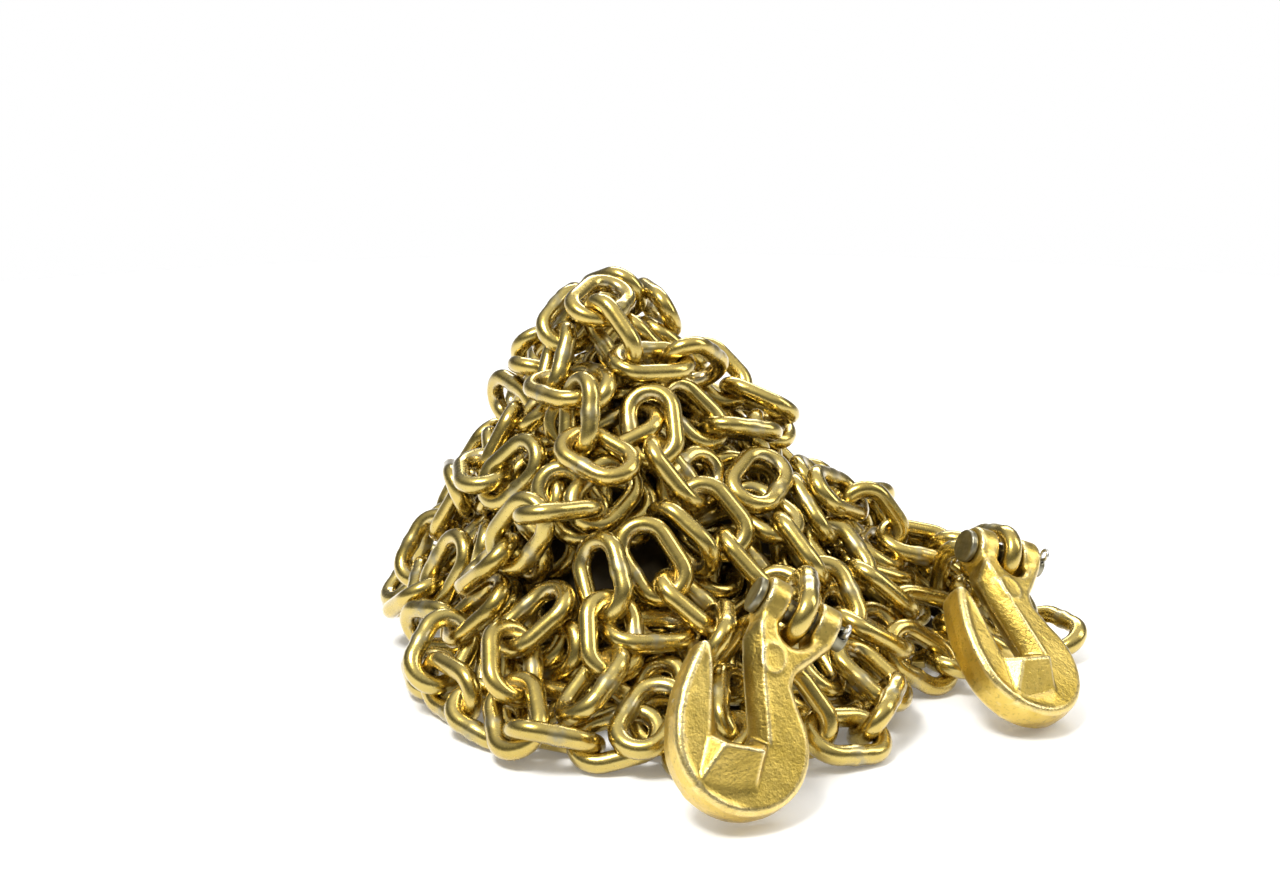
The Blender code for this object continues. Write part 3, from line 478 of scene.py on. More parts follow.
def clears(last, link):
    """Whether a link touches the one it hangs in nowhere but at their crowns."""
    return least_distance(link.place(FINE_PATH), last.place(FINE_PATH)) > HOLD - SLACK


def turned(vector, axis, angle):
    return (vector * math.cos(angle) + np.cross(axis, vector) * math.sin(angle)
            + axis * (axis * vector).sum() * (1 - math.cos(angle)))


def sink(room, last, link):
    """Turns a link down about its hold until it lies on something."""
    side = np.cross(link.along, [0, 0, 1.0])
    if (side * side).sum() < TOO_UPRIGHT:
        return link
    side = unit(side)
    angle, step, found = 0.0, SINK_TURN, link
    for _ in range(SINK_ROUNDS):
        along, across = turned(link.along, side, angle + step), turned(link.across, side, angle + step)
        pull, crossing = pull_between(last, along, across)
        trial = Link(last.end - HOLD * pull, along, across)
        free = room.around(trial.place(TEST_PATH)).min() > CLEARANCE and clears(last, trial)
        if free and hangs(last, along, pull, crossing):
            angle, found = angle + step, trial
        else:
            step /= 2
    return found


def next_link(room, last, goal, ceiling, chance):
    """The link that lies lowest and nearest to the goal, or None where there is no room."""
    heading = math.atan2(last.along[1], last.along[0])
    yaw, pitch, roll = np.meshgrid(heading + YAWS + chance.uniform(-YAW_SHIFT, YAW_SHIFT),
                                   PITCHES + chance.uniform(-PITCH_SHIFT, PITCH_SHIFT),
                                   ROLLS + chance.uniform(-ROLL_SHIFT, ROLL_SHIFT), indexing="ij")
    along, across = directions(yaw.ravel(), pitch.ravel(), roll.ravel())
    pull, crossing = pull_between(last, along, across)
    fits = hangs(last, along, pull, crossing)
    along, across = along[fits], across[fits]
    start = last.end - HOLD * pull[fits]
    points = (start[:, None] + (TEST_PATH[:, :1] + REACH / 2) * along[:, None]
              + TEST_PATH[:, 1:] * across[:, None])
    depth = points[..., 2] - room.surface_at(points)
    end = start + along * REACH
    to_goal = np.sqrt(((end[:, :2] - goal) ** 2).sum(-1))
    cost = LOW_WEIGHT * depth.mean(1) + HIGH_WEIGHT * np.maximum(depth + WIRE / 2, 0).mean(1)
    cost += GOAL_WEIGHT * to_goal + BEND_WEIGHT * (1 - (along * last.along).sum(-1))
    cost += chance.uniform(0, CHANCE, len(cost))
    cost[room.around(points).min(1) < CLEARANCE] = np.inf
    cost[depth.mean(1) > ceiling] = np.inf
    for best in np.argsort(cost, kind="stable"):
        if not np.isfinite(cost[best]):
            return None
        link = Link(start[best], along[best], across[best])
        if clears(last, link):
            return sink(room, last, link)
    return None


def pick_goal(room, here, chance):
    """A bare place not too far off, rather in front than behind."""
    bare = room.bareness()
    behind = np.maximum(room.y - BACK_FROM, 0)
    score = GOAL_BARE * bare - GOAL_AWAY * room.away_from(here) - GOAL_BACK * behind
    score += chance.uniform(0, GOAL_CHANCE, bare.shape)
    score[bare < LEAST_GOAL] = NO_GOAL
    return room.place_of(highest(score))


def lay_strand(room, first, count, ceiling, chance):
    links = [first]
    goal, steps_left = None, 0
    while len(links) < count:
        last = links[-1]
        if steps_left == 0 or math.dist(goal, last.end[:2]) < GOAL_REACHED:
            goal, steps_left = pick_goal(room, last.end, chance), GOAL_STEPS
        steps_left -= 1
        link = next_link(room, last, goal, ceiling, chance)
        if link is None:
            break
        room.take_link(last)
        links.append(link)
    room.take_link(links[-1])
    return links


def let_down(room, links):
    """A strand lowered as one until it lies on something."""
    points = np.concatenate([link.place(TEST_PATH) for link in links])
    down = np.array([0, 0, -DROP])
    steps = 0
    while room.around(points + (steps + 1) * down).min() > SEATED:
        steps += 1
    return [Link(link.start + steps * down, link.along, link.across) for link in links]


def seat_first(room, barred, chance):
    """The barest place of the heap, and the lowest free links there."""
    bare = room.bareness()
    for tried in barred:
        bare[room.away_from(tried) < HOOK_KEEP_OFF] = 0
    cell = highest(bare)
    if bare[cell] < LEAST_BARE:
        return None, []
    place = room.place_of(cell)
    slope_x, slope_y = [float(slope[cell]) for slope in np.gradient(room.target, CELL)]
    yaw = chance.uniform(-math.pi, math.pi, FIRST_WAYS)
    pitch = np.arctan(slope_x * np.cos(yaw) + slope_y * np.sin(yaw))
    pitch += chance.uniform(-FIRST_PITCH_SHIFT, FIRST_PITCH_SHIFT, FIRST_WAYS)
    along, across = directions(yaw, pitch, chance.uniform(0, math.pi, FIRST_WAYS))
    floor = max(float(core_height(*place)), 0) + WIRE / 2
    middle = np.stack([np.full(len(FIRST_LIFTS), place[0]), np.full(len(FIRST_LIFTS), place[1]),
                       floor + FIRST_LIFTS], -1)
    start = middle[:, None] - along * REACH / 2
    points = (start[:, :, None] + (TEST_PATH[:, :1] + REACH / 2) * along[:, None]
              + TEST_PATH[:, 1:] * across[:, None])
    free = room.around(points).min(-1) > CLEARANCE
    level = np.where(free, FIRST_LIFTS[:, None], 1.0).min(0) + HEADING_WEIGHT * along[:, 2]
    order = np.argsort(level, kind="stable")
    seats = [way for way in order if free[:, way].any()][:SEATS_TRIED]
    lifts = [int(np.argmax(free[:, way])) for way in seats]
    return place, [Link(start[lift, way], along[way], across[way]) for lift, way in zip(lifts, seats)]


def lay_chain(hooks):
    """All strands that show: one from each hook, then others from the barest places."""
    room = room_beside(hooks, [], LAYER)
    chance = np.random.default_rng(SEED)
    strands = [lay_strand(room, hook.end_link, hook.strand, HIGHEST_AT_HOOK, chance)
               for hook in hooks.values()]
    barred = []
    while sum(map(len, strands)) < LINK_TARGET and len(barred) < SEAT_TRIES:
        place, seats = seat_first(room, barred, chance)
        if place is None:
            break
        for first in seats:
            kept = room.snapshot()
            links = lay_strand(room, first, STRAND_LENGTH, HIGHEST_IN_HEAP, chance)
            room.restore(kept)
            if len(links) >= SHORTEST_STRAND:
                links = let_down(room, links)
                for link in links:
                    room.take_link(link)
                strands.append(links)
                break
        else:
            barred.append(place)
    return strands


# Links tucked in at the barest places

def flat_on(normal, tilt, turn_over, chance):
    """Random long and wide directions that lie more or less flat on a surface."""
    ways = len(normal)
    turn = chance.uniform(0, 2 * math.pi, ways)
    pitch, roll = chance.normal(0, tilt, ways), chance.normal(0, turn_over, ways)
    level = unit(np.stack([-normal[:, 1], normal[:, 0] + 1e-9, 0 * turn], -1))
    uphill = np.cross(normal, level)
    forward = np.cos(turn)[:, None] * level + np.sin(turn)[:, None] * uphill
    sideways = np.cross(normal, forward)
    along = np.cos(pitch)[:, None] * forward + np.sin(pitch)[:, None] * normal
    upright = np.cross(along, sideways)
    return along, np.cos(roll)[:, None] * sideways + np.sin(roll)[:, None] * upright


def tried_links(spots, height, along, across, path):
    """Starts of links over some spots, each at several heights, and the points of their wires."""
    middle = np.concatenate([np.broadcast_to(spots[:, None], (*height.shape, 2)), height[..., None]], -1)
    start = middle - along[:, None] * REACH / 2
    points = (start[:, :, None] + (path[:, :1] + REACH / 2) * along[:, None, None]
              + path[:, 1:] * across[:, None, None])
    return start, points


def cheapest(fits, cost, start, along, across):
    """The fitting link of least cost, or None."""
    way, deep = np.unravel_index(int(np.argmin(np.where(fits, cost, np.inf))), fits.shape)
    if not fits[way, deep]:
        return None
    return Link(start[way, deep], along[way], across[way])


def bedded_link(room, place, chance):
    """The highest link around a place that is still half sunk in the core, or None."""
    spots = place + chance.normal(0, BEDDED_SPREAD, (BEDDED_WAYS, 2))
    column = room.column(spots)
    along, across = flat_on(room.normal[column], BEDDED_TILT, BEDDED_TURN_OVER, chance)
    height = room.target[column][:, None] - BEDDED_DEPTHS
    start, points = tried_links(spots, height, along, across, TEST_PATH)
    over_core = (points[..., 2] - room.surface_at(points) + LAYER) / room.slant[room.column(points)]
    sunk = (over_core < 0).mean(-1)
    fits = (sunk > BEDDED_SUNK[0]) & (sunk < BEDDED_SUNK[1])
    fits &= room.around(points).min(-1) > BEDDED_CLEARANCE
    return cheapest(fits, -over_core.mean(-1), start, along, across)


def pocket_link(room, place, first, last, clearance, on_floor, chance):
    """The link nearest to the surface, or to the floor, that finds room around a place, or None."""
    spots = place + chance.normal(0, POCKET_SPREAD, (POCKET_WAYS, 2))
    depths = np.arange(first, last, POCKET_STEP)
    column = room.column(spots)
    normal = np.tile((0.0, 0.0, 1.0), (POCKET_WAYS, 1)) if on_floor else room.normal[column]
    along, across = flat_on(normal, POCKET_TILT, POCKET_TURN_OVER, chance)
    height = room.target[column][:, None] - depths * room.slant[column][:, None]
    if on_floor:
        height = np.tile(depths, (POCKET_WAYS, 1))
    start, points = tried_links(spots, height, along, across, ROUND_PATH)
    fits = (room.around(points).min(-1) > clearance) & (points[..., 2].min(-1) > WIRE / 2)
    fits &= (points[..., 2] - room.surface_at(points)).max(-1) < 0
    return cheapest(fits, depths, start, along, across)


def tuck_in(room, open_to, tries, spread, find_link, chance, most=None):
    """Links laid one after another where the heap is barest, each by a rule that may find none."""
    laid = []
    for _ in range(tries):
        if len(laid) == most:
            break
        lack = room.bareness() * open_to * chance.uniform(*LACK_SHARES, open_to.shape)
        place = room.place_of(highest(lack))
        link = find_link(place)
        if link is None:
            open_to[room.away_from(place) < spread] *= BARRED_SHARE
        else:
            room.take_link(link)
            laid.append(link)
    return laid


def lay_bedded(hooks, strands):
    """Links half sunk in the core wherever it shows between the strands, clear of each other."""
    room = room_beside(hooks, sum(strands, []), LAYER + BED)
    chance = np.random.default_rng(SEED + 1)
    return tuck_in(room, np.ones(room.x.shape), BEDDED_TRIES, BEDDED_SPREAD,
                   lambda place: bedded_link(room, place, chance), chance, BEDDED_TARGET)


def lay_within(hooks, strands, bedded):
    """Links under and between those strands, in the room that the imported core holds."""
    room = room_beside(hooks, sum(strands, []) + bedded, DEEP_LAYER, square=True)
    chance = np.random.default_rng(SEED + 2)
    within = []
    for first, last, clearance, tries, on_floor in WITHIN_PASSES:
        open_to = np.where(room.target < FOOT_HEIGHT, 1.0, 0.0 if on_floor else 1.0)

        def find_link(place):
            return pocket_link(room, place, first, last, clearance, on_floor, chance)

        within += tuck_in(room, open_to, tries, POCKET_SPREAD, find_link, chance)
    return within


# Where a hook lies

class HookPlace:
    """Where a hook lies, and the end link of the chain that its pin holds."""

    def __init__(self, bowl, across, up, lean, strand):
        self.bowl, self.strand = np.array(bowl), strand
        self.up = unit(np.array(up))
        across = np.array(across)
        self.across = unit(across - self.up * (across * self.up).sum())
        self.face = np.cross(self.across, self.up)
        self.fork = math.sin(FORK_TILT) * self.across + math.cos(FORK_TILT) * self.up
        self.pin = math.cos(FORK_TILT) * self.across - math.sin(FORK_TILT) * self.up
        self.pin_middle = self.at(*PIN_SEAT)
        along = math.cos(lean) * self.fork - math.sin(lean) * self.face
        hold = PIN_RADIUS + WIRE / 2 + GAP
        self.end_link = Link(self.pin_middle - hold * along, along, np.cross(along, self.pin))

    def at(self, x, y):
        return self.bowl + x * self.across + y * self.up

    def at_many(self, x, y, z):
        return self.bowl + np.outer(x, self.across) + np.outer(y, self.up) + np.outer(z, self.face)

    def take_room(self, room):
        turns = np.radians(np.arange(0, 360, 30))
        ring = [self.at(*(RING_RADIUS * np.array([math.cos(turn), math.sin(turn)]))) for turn in turns]
        room.take(np.array(ring), RING_BAR, closed=True)
        for radius, corners in HOOK_BARS:
            bar = [self.at(*corner) for corner in in_mm(corners)]
            room.take(np.array(bar), radius * MM, closed=False)
        for side in (-1, 1):
            ends = [self.pin_middle + side * reach * self.pin for reach in EAR_REACHES]
            room.take(np.array(ends), EYE_RADIUS, closed=False)


def arc(middle, radius, first, last, steps):
    """Points of an arc between two angles in degrees."""
    return [(middle[0] + radius * math.cos(turn), middle[1] + radius * math.sin(turn))
            for turn in np.radians(np.linspace(first, last, steps))]


def fork_point(along_pin, along_fork):
    """A point of the face plane given from the pin's middle."""
    cos, sin = math.cos(FORK_TILT), math.sin(FORK_TILT)
    return (PIN_SEAT[0] + along_pin * cos + along_fork * sin,
            PIN_SEAT[1] - along_pin * sin + along_fork * cos)


def hook_outline():
    """Bowl, horn, slot, shank and the U of the fork, anticlockwise."""
    slot_radius = (SLOT_RIGHT - SLOT_LEFT) / 2
    seat = ((SLOT_LEFT + SLOT_RIGHT) / 2, SLOT_FLOOR + slot_radius)
    throat = FORK_GAP / 2 + EYE_PROUD
    outer = FORK_GAP / 2 + EAR - EYE_PROUD
    throat_middle = fork_point(0, throat - THROAT_DEPTH)
    fork_turn = -math.degrees(FORK_TILT)
    outline = in_mm(HORN_CORNERS)
    outline += arc((0, 0), BOWL_RADIUS, *BOWL_ARC, ARC_STEPS * 2 + 1)
    outline += in_mm(BACK_CORNERS)
    outline += [fork_point(outer, -EYE_RADIUS), fork_point(outer, 0), fork_point(throat, 0)]
    outline += arc(throat_middle, throat, fork_turn, fork_turn - 180, ARC_STEPS)
    outline += [fork_point(-throat, 0), fork_point(-outer, 0), fork_point(-outer, -EYE_RADIUS)]
    outline += in_mm(SHANK_CORNERS)
    outline += arc(seat, slot_radius, 0, -180, ARC_STEPS)
    outline += in_mm(TIP_CORNERS)
    return outline


# Fine meshes

def add_piece(name, points, faces, finish, replaced=(), attributes=None):
    """A smooth piece of quads that rides on the heap."""
    mesh = bpy.data.meshes.new(name)
    mesh.vertices.add(len(points))
    mesh.vertices.foreach_set("co", np.ascontiguousarray(points, dtype=np.float32).ravel())
    faces = np.asarray(faces, dtype=np.int32)
    mesh.loops.add(faces.size)
    mesh.loops.foreach_set("vertex_index", faces.ravel())
    mesh.polygons.add(len(faces))
    mesh.polygons.foreach_set("loop_start", np.arange(0, faces.size, faces.shape[1], dtype=np.int32))
    mesh.update(calc_edges=True)
    mesh.validate()
    for label, values in (attributes or {}).items():
        layer = mesh.attributes.new(label, "FLOAT", "POINT")
        layer.data.foreach_set("value", np.asarray(values, dtype=np.float32))
    mesh.shade_smooth()
    mesh.materials.append(finish)
    piece = bpy.data.objects.new(name, mesh)
    bpy.context.scene.collection.objects.link(piece)
    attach(piece, "root")
    if replaced:
        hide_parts(*replaced)


def ring_quads(rings, sides, closed):
    """Quads between rings of points, each ring closed."""
    ring = np.arange(rings if closed else rings - 1)
    here, there = ring * sides, (ring + 1) % rings * sides
    side = np.arange(sides)
    after = (side + 1) % sides
    quads = np.stack([here[:, None] + side, here[:, None] + after,
                      there[:, None] + after, there[:, None] + side], -1)
    return quads.reshape(-1, 4)


def smoothstep(value, low, high):
    share = np.clip((value - low) / (high - low), 0, 1)
    return share * share * (3 - 2 * share)


def fine_link_path():
    """The link's middle line at even steps, starting at the middle of one straight."""
    quarter = math.pi / 2 * LINK_HALF_WIDTH
    total = 4 * HALF_STRAIGHT + 4 * quarter
    spots = (np.arange(LINK_RINGS) + 0.5) * total / LINK_RINGS
    lengths = np.cumsum([0, HALF_STRAIGHT, 2 * quarter, 2 * HALF_STRAIGHT, 2 * quarter, HALF_STRAIGHT])
    path = []

    def crown(turn, end):
        return end * HALF_STRAIGHT + LINK_HALF_WIDTH * math.cos(turn), LINK_HALF_WIDTH * math.sin(turn)

    for spot in spots:
        leg = int(np.searchsorted(lengths, spot, side="right")) - 1
        into = spot - lengths[leg]
        if leg == 0:
            path.append((into, -LINK_HALF_WIDTH))
        elif leg == 1:
            path.append(crown(into / LINK_HALF_WIDTH - math.pi / 2, 1))
        elif leg == 2:
            path.append((HALF_STRAIGHT - into, LINK_HALF_WIDTH))
        elif leg == 3:
            path.append(crown(into / LINK_HALF_WIDTH + math.pi / 2, -1))
        else:
            path.append((into - HALF_STRAIGHT, -LINK_HALF_WIDTH))
    return np.array(path)


def links_mesh(links, chance):
    """Round wire bent into links, each with its weld, its tone and the wear where links bear."""
    path = fine_link_path()
    turns = 2 * math.pi * np.arange(LINK_SIDES) / LINK_SIDES
    points, tones, welds, worn = [], [], [], []
    for link in links:
        middle = link.place(path)
        run = unit(np.roll(middle, -1, axis=0) - np.roll(middle, 1, axis=0))
        flat = np.broadcast_to(np.cross(link.along, link.across), run.shape)
        outward = np.cross(run, flat)
        side = chance.choice([-1.0, 1.0])
        weld_at = np.array([chance.normal(0, WELD_OFF), side * LINK_HALF_WIDTH])
        off_weld = np.sqrt(((path - weld_at) ** 2).sum(-1))
        bulge = WELD_BULGE * np.exp(-(off_weld / WELD_WIDTH) ** 2)
        notch = NOTCH_DEPTH * np.exp(-((off_weld - NOTCH_AT) / NOTCH_WIDTH) ** 2)
        radius = WIRE / 2 + bulge - notch
        ring = (np.cos(turns)[None, :, None] * outward[:, None]
                + np.sin(turns)[None, :, None] * flat[:, None])
        points.append((middle[:, None] + radius[:, None, None] * ring).reshape(-1, 3))
        tones.append(np.full(len(path) * LINK_SIDES, chance.uniform(0, 1)))
        welds.append(np.repeat(np.exp(-(off_weld / WELD_STAIN) ** 2), LINK_SIDES))
        crown = smoothstep(np.abs(path[:, 0]), HALF_STRAIGHT, REACH / 2)
        inner = smoothstep(-np.cos(turns), WORN_FROM, 1.0)
        worn.append((crown[:, None] * inner).ravel())
    one = ring_quads(LINK_RINGS, LINK_SIDES, closed=True)[:, ::-1]
    count = LINK_RINGS * LINK_SIDES
    faces = np.concatenate([one + index * count for index in range(len(links))])
    attributes = dict(tone=np.concatenate(tones), weld=np.concatenate(welds), worn=np.concatenate(worn))
    return np.concatenate(points), faces, attributes


# Hook forging, as a distance field in the hook's own frame

def grid_axes(low, high, step):
    count = np.round((high - low) / step).astype(int) + 1
    return [low[k] + step * np.arange(count[k]) for k in range(3)]


def edge_distance(x, y, outline):
    """Signed distance to a closed outline, less than nothing inside."""
    corners = np.array(outline)
    nearest = np.full(x.shape, np.inf)
    inside = np.zeros(x.shape, dtype=bool)
    for (ax, ay), (bx, by) in zip(corners, np.roll(corners, -1, axis=0)):
        dx, dy = bx - ax, by - ay
        share = np.clip(((x - ax) * dx + (y - ay) * dy) / (dx * dx + dy * dy), 0, 1)
        nearest = np.minimum(nearest, (x - ax - share * dx) ** 2 + (y - ay - share * dy) ** 2)
        if ay != by:
            crosses = (ay > y) != (by > y)
            inside ^= crosses & (x < ax + (y - ay) / dy * dx)
    return np.where(inside, -1, 1) * np.sqrt(nearest)


def soften(values, rounds):
    """Blurs a field a little, which rounds its corners."""
    for _ in range(rounds):
        for axis in (0, 1):
            values = (np.roll(values, 1, axis) + 2 * values + np.roll(values, -1, axis)) / 4
    return values


def join(a, b, blend):
    """Union of two fields with a fillet."""
    share = np.clip(0.5 + 0.5 * (b - a) / blend, 0, 1)
    return b + (a - b) * share - blend * share * (1 - share)


def rounded(across, through, radius):
    """Field of a prism with rounded rims from its distances across and through."""
    a, b = across + radius, through + radius
    return np.minimum(np.maximum(a, b), 0) + np.hypot(np.maximum(a, 0), np.maximum(b, 0)) - radius


def slope_through(*corners):
    """Height of the plane through three points, as factors of x, y and 1."""
    rows = np.array([(x, y, 1) for x, y, _ in corners])
    return np.linalg.solve(rows, np.array([z for _, _, z in corners]))


def hook_thickness(x, y, edge):
    """Half the forging's thickness: rim and shallow recess on the horn, facets beside the slot, boss."""
    half = PLATE / 2
    thick = np.full(x.shape, half)
    horn_side = smoothstep(-x, *HORN_FADE)
    thick = thick - RECESS * horn_side * smoothstep(-edge, RIM_WIDTH, RIM_WIDTH + RECESS_EDGE)
    # facets that lead a link into the slot, on the horn and on the shank
    from_slot = SLOT_LEFT - x
    wide = HORN_FACET + HORN_FACET_MORE * smoothstep(-y, *HORN_FACET_RUN)
    horn = half - FACET_DEPTH + FACET_DEPTH * from_slot / wide
    on_horn = (x < SLOT_LEFT + HORN_FACET_OVER) & (y > HORN_FACET_FROM)
    thick = np.where(on_horn, np.minimum(thick, horn), thick)
    shank = half - FACET_DEPTH + FACET_DEPTH * (x - shank_edge(y)) / SHANK_FACET
    into_slot, into_shank = SHANK_FACET_ENDS
    on_shank = (x > SLOT_RIGHT - into_slot) & (x < shank_edge(y) + into_shank) & (y > SHANK_FACET_FROM)
    thick = np.where(on_shank, np.minimum(thick, shank), thick)
    ridge = np.exp(-((x - shank_edge(y) - RIDGE_AT) / RIDGE_WIDTH) ** 2) * smoothstep(y, *RIDGE_FOOT)
    thick = thick + RIDGE_HEIGHT * ridge * smoothstep(-y, *RIDGE_HEAD)
    boss_x, boss_y = (x - BOSS[0]) / BOSS_RADII[0], (y - BOSS[1]) / BOSS_RADII[1]
    boss = np.sqrt(boss_x ** 2 + boss_y ** 2)
    thick = thick + BOSS_RIM * np.exp(-((boss - 1) / BOSS_RIM_WIDTH) ** 2) + BOSS_RISE * (boss < 1)
    return thick


def shank_edge(y):
    """The shank's edge towards the slot, which leans left up to the fork's ear."""
    lean = SHANK_LEAN * smoothstep(y, *LEAN_RUN)
    return SLOT_RIGHT - lean + SHANK_LEAN_BACK * smoothstep(y, *LEAN_BACK_RUN)


def cradle_height(x, y):
    """The raised seat below the slot: a crest, a front slope, two side slopes and one above."""
    top = PLATE / 2 + WING_HEIGHT
    left, right = [(*corner, top) for corner in in_mm(CRADLE_CREST)]
    left_foot, right_foot = [(*corner, CRADLE_FOOT) for corner in in_mm(CRADLE_FEET)]
    left_side, right_side, upper = [(*corner, CRADLE_FOOT) for corner in in_mm(CRADLE_SIDES)]
    middle = tuple((a + b) / 2 for a, b in zip(left_foot, right_foot))
    slopes = [
        slope_through(left, right, middle),
        slope_through(left, left_foot, left_side),
        slope_through(right, right_foot, right_side),
        slope_through(left, right, upper),
    ]
    height = np.full(x.shape, top)
    for by_x, by_y, level in slopes:
        height = np.minimum(height, by_x * x + by_y * y + level)
    return height


def uneven(x, y, z):
    """Slow unevenness of a forging, from waves of two lengths."""
    return UNEVENNESS * (np.sin(290 * x + 130 * y + 1.0) * np.sin(230 * y - 150 * z)
                         + 0.5 * np.sin(890 * x - 510 * z + 2.0) * np.sin(760 * y + 420 * x))


def forge_hook():
    """Corner points and quads of the forging."""
    axes = grid_axes(FORGE_LOW, FORGE_HIGH, FORGE_STEP)
    x, y = np.meshgrid(axes[0], axes[1], indexing="ij")
    edge = soften(edge_distance(x, y, hook_outline()), OUTLINE_SOFTENING)
    thick = soften(hook_thickness(x, y, edge), HEIGHT_SOFTENING)
    cradle = soften(cradle_height(x, y), HEIGHT_SOFTENING)
    x, y, z = np.meshgrid(*axes, indexing="ij")
    edge, thick, cradle = edge[..., None], thick[..., None], cradle[..., None]
    depth = np.abs(z)
    field = rounded(edge + DRAFT * depth, depth - thick, RIM_ROUND)
    seat = rounded(edge + CRADLE_INSET, (depth - cradle) * CRADLE_SQUARE, CRADLE_ROUND)
    field = join(field, seat, CRADLE_BLEND)
    along = (x - PIN_SEAT[0]) * math.cos(FORK_TILT) - (y - PIN_SEAT[1]) * math.sin(FORK_TILT)
    up = (x - PIN_SEAT[0]) * math.sin(FORK_TILT) + (y - PIN_SEAT[1]) * math.cos(FORK_TILT)
    out = np.hypot(up, z)
    ear = np.abs(np.abs(along) - FORK_GAP / 2 - EAR / 2) - EAR / 2
    field = join(field, rounded(out - EYE_RADIUS, ear, EYE_ROUND), EYE_BLEND)
    field = np.maximum(field, PIN_BORE - out)
    field += uneven(x, y, z)
    points, faces = surface_of(field, FORGE_LOW, FORGE_STEP)
    x, y = points[:, 0], points[:, 1]
    # mask of painted shade: the slot and the shank's facet right of it, to be darkened in the forging's
    # colour
    slot = smoothstep(x, SLOT_LEFT - SLOT_FADE, SLOT_LEFT)
    slot = slot * smoothstep(-x, -SLOT_RIGHT - SLOT_SHADE[1], -SLOT_RIGHT - SLOT_SHADE[0])
    slot = slot * smoothstep(y, SLOT_FLOOR - SLOT_FADE, SLOT_FLOOR)
    return points, faces, dict(slot=slot)


def surface_of(field, low, step):
    """Quads through the places where a field changes sign, one corner in each cell it crosses."""
    shape = np.array(field.shape)
    total = np.zeros((*(shape - 1), 3))
    hits = np.zeros(shape - 1)
    crossings = []
    for axis in range(3):
        near = np.take(field, range(shape[axis] - 1), axis)
        far = np.take(field, range(1, shape[axis]), axis)
        crossed = np.argwhere((near < 0) != (far < 0))
        a, b = near[tuple(crossed.T)], far[tuple(crossed.T)]
        crossings.append((crossed, a < 0))
        place = crossed.astype(float)
        place[:, axis] += a / (a - b)
        others = [k for k in range(3) if k != axis]
        for back_0 in (0, 1):
            for back_1 in (0, 1):
                cell = crossed.copy()
                cell[:, others[0]] -= back_0
                cell[:, others[1]] -= back_1
                fits = ((cell >= 0) & (cell < shape - 1)).all(1)
                np.add.at(total, tuple(cell[fits].T), place[fits])
                np.add.at(hits, tuple(cell[fits].T), 1)
    used = hits > 0
    number = np.full(used.shape, -1)
    number[used] = np.arange(used.sum())
    points = low + step * total[used] / hits[used][:, None]
    faces = []
    for axis, (crossed, inside_first) in enumerate(crossings):
        first, second = [k for k in range(3) if k != axis]
        fits = (crossed[:, first] > 0) & (crossed[:, second] > 0)
        crossed, inside_first = crossed[fits], inside_first[fits]
        corner = []
        for back_0, back_1 in ((0, 0), (1, 0), (1, 1), (0, 1)):
            cell = crossed.copy()
            cell[:, first] -= back_0
            cell[:, second] -= back_1
            corner.append(number[tuple(cell.T)])
        quads = np.stack(corner, -1)
        forward = inside_first if axis != 1 else ~inside_first
        quads[~forward] = quads[~forward][:, ::-1]
        faces.append(quads)
    return points, np.concatenate(faces)


def round_bar(profile):
    """Turned bar on the pin's axis, from straight stretches (start, end, radius, rounding)."""
    axes = grid_axes(PIN_FIELD_LOW, PIN_FIELD_HIGH, PIN_STEP)
    along, up, z = np.meshgrid(*axes, indexing="ij")
    out = np.hypot(up, z)
    field = np.full(along.shape, 1.0)
    for start, end, radius, rounding in profile:
        through = np.abs(along - (start + end) / 2) - (end - start) / 2
        field = np.minimum(field, rounded(out - radius, through, rounding))
    hole = np.hypot(along - profile[-1][1] + PIN_TAIL / 2, up) - SPLIT_HOLE
    field = np.maximum(field, -hole)
    field = field + PIN_UNEVENNESS * np.sin(2100 * up + 900 * along) * np.sin(1700 * z)
    return surface_of(field, PIN_FIELD_LOW, PIN_STEP)


def pin_mesh(place):
    """The clevis pin: a low round head, a shank, and a bevelled tail with its cross hole."""
    outer = FORK_GAP / 2 + EAR
    head = -outer - GAP - HEAD_THICKNESS
    profile = [
        (head, head + HEAD_THICKNESS, HEAD_RADIUS, HEAD_ROUND),
        (head + HEAD_OVERLAP, outer + PIN_TAIL, PIN_RADIUS, PIN_BEVEL),
    ]
    points, faces = round_bar(profile)
    along, up, z = points.T
    x, y = fork_point(along, up)
    return place.at_many(x, y, z), faces


def smooth_line(corners, rounds):
    """Cuts the corners of an open line."""
    line = np.array(corners)
    for _ in range(rounds):
        cut = np.stack([0.75 * line[:-1] + 0.25 * line[1:], 0.25 * line[:-1] + 0.75 * line[1:]], 1)
        line = np.concatenate([line[:1], cut.reshape(-1, line.shape[1]), line[-1:]])
    return line


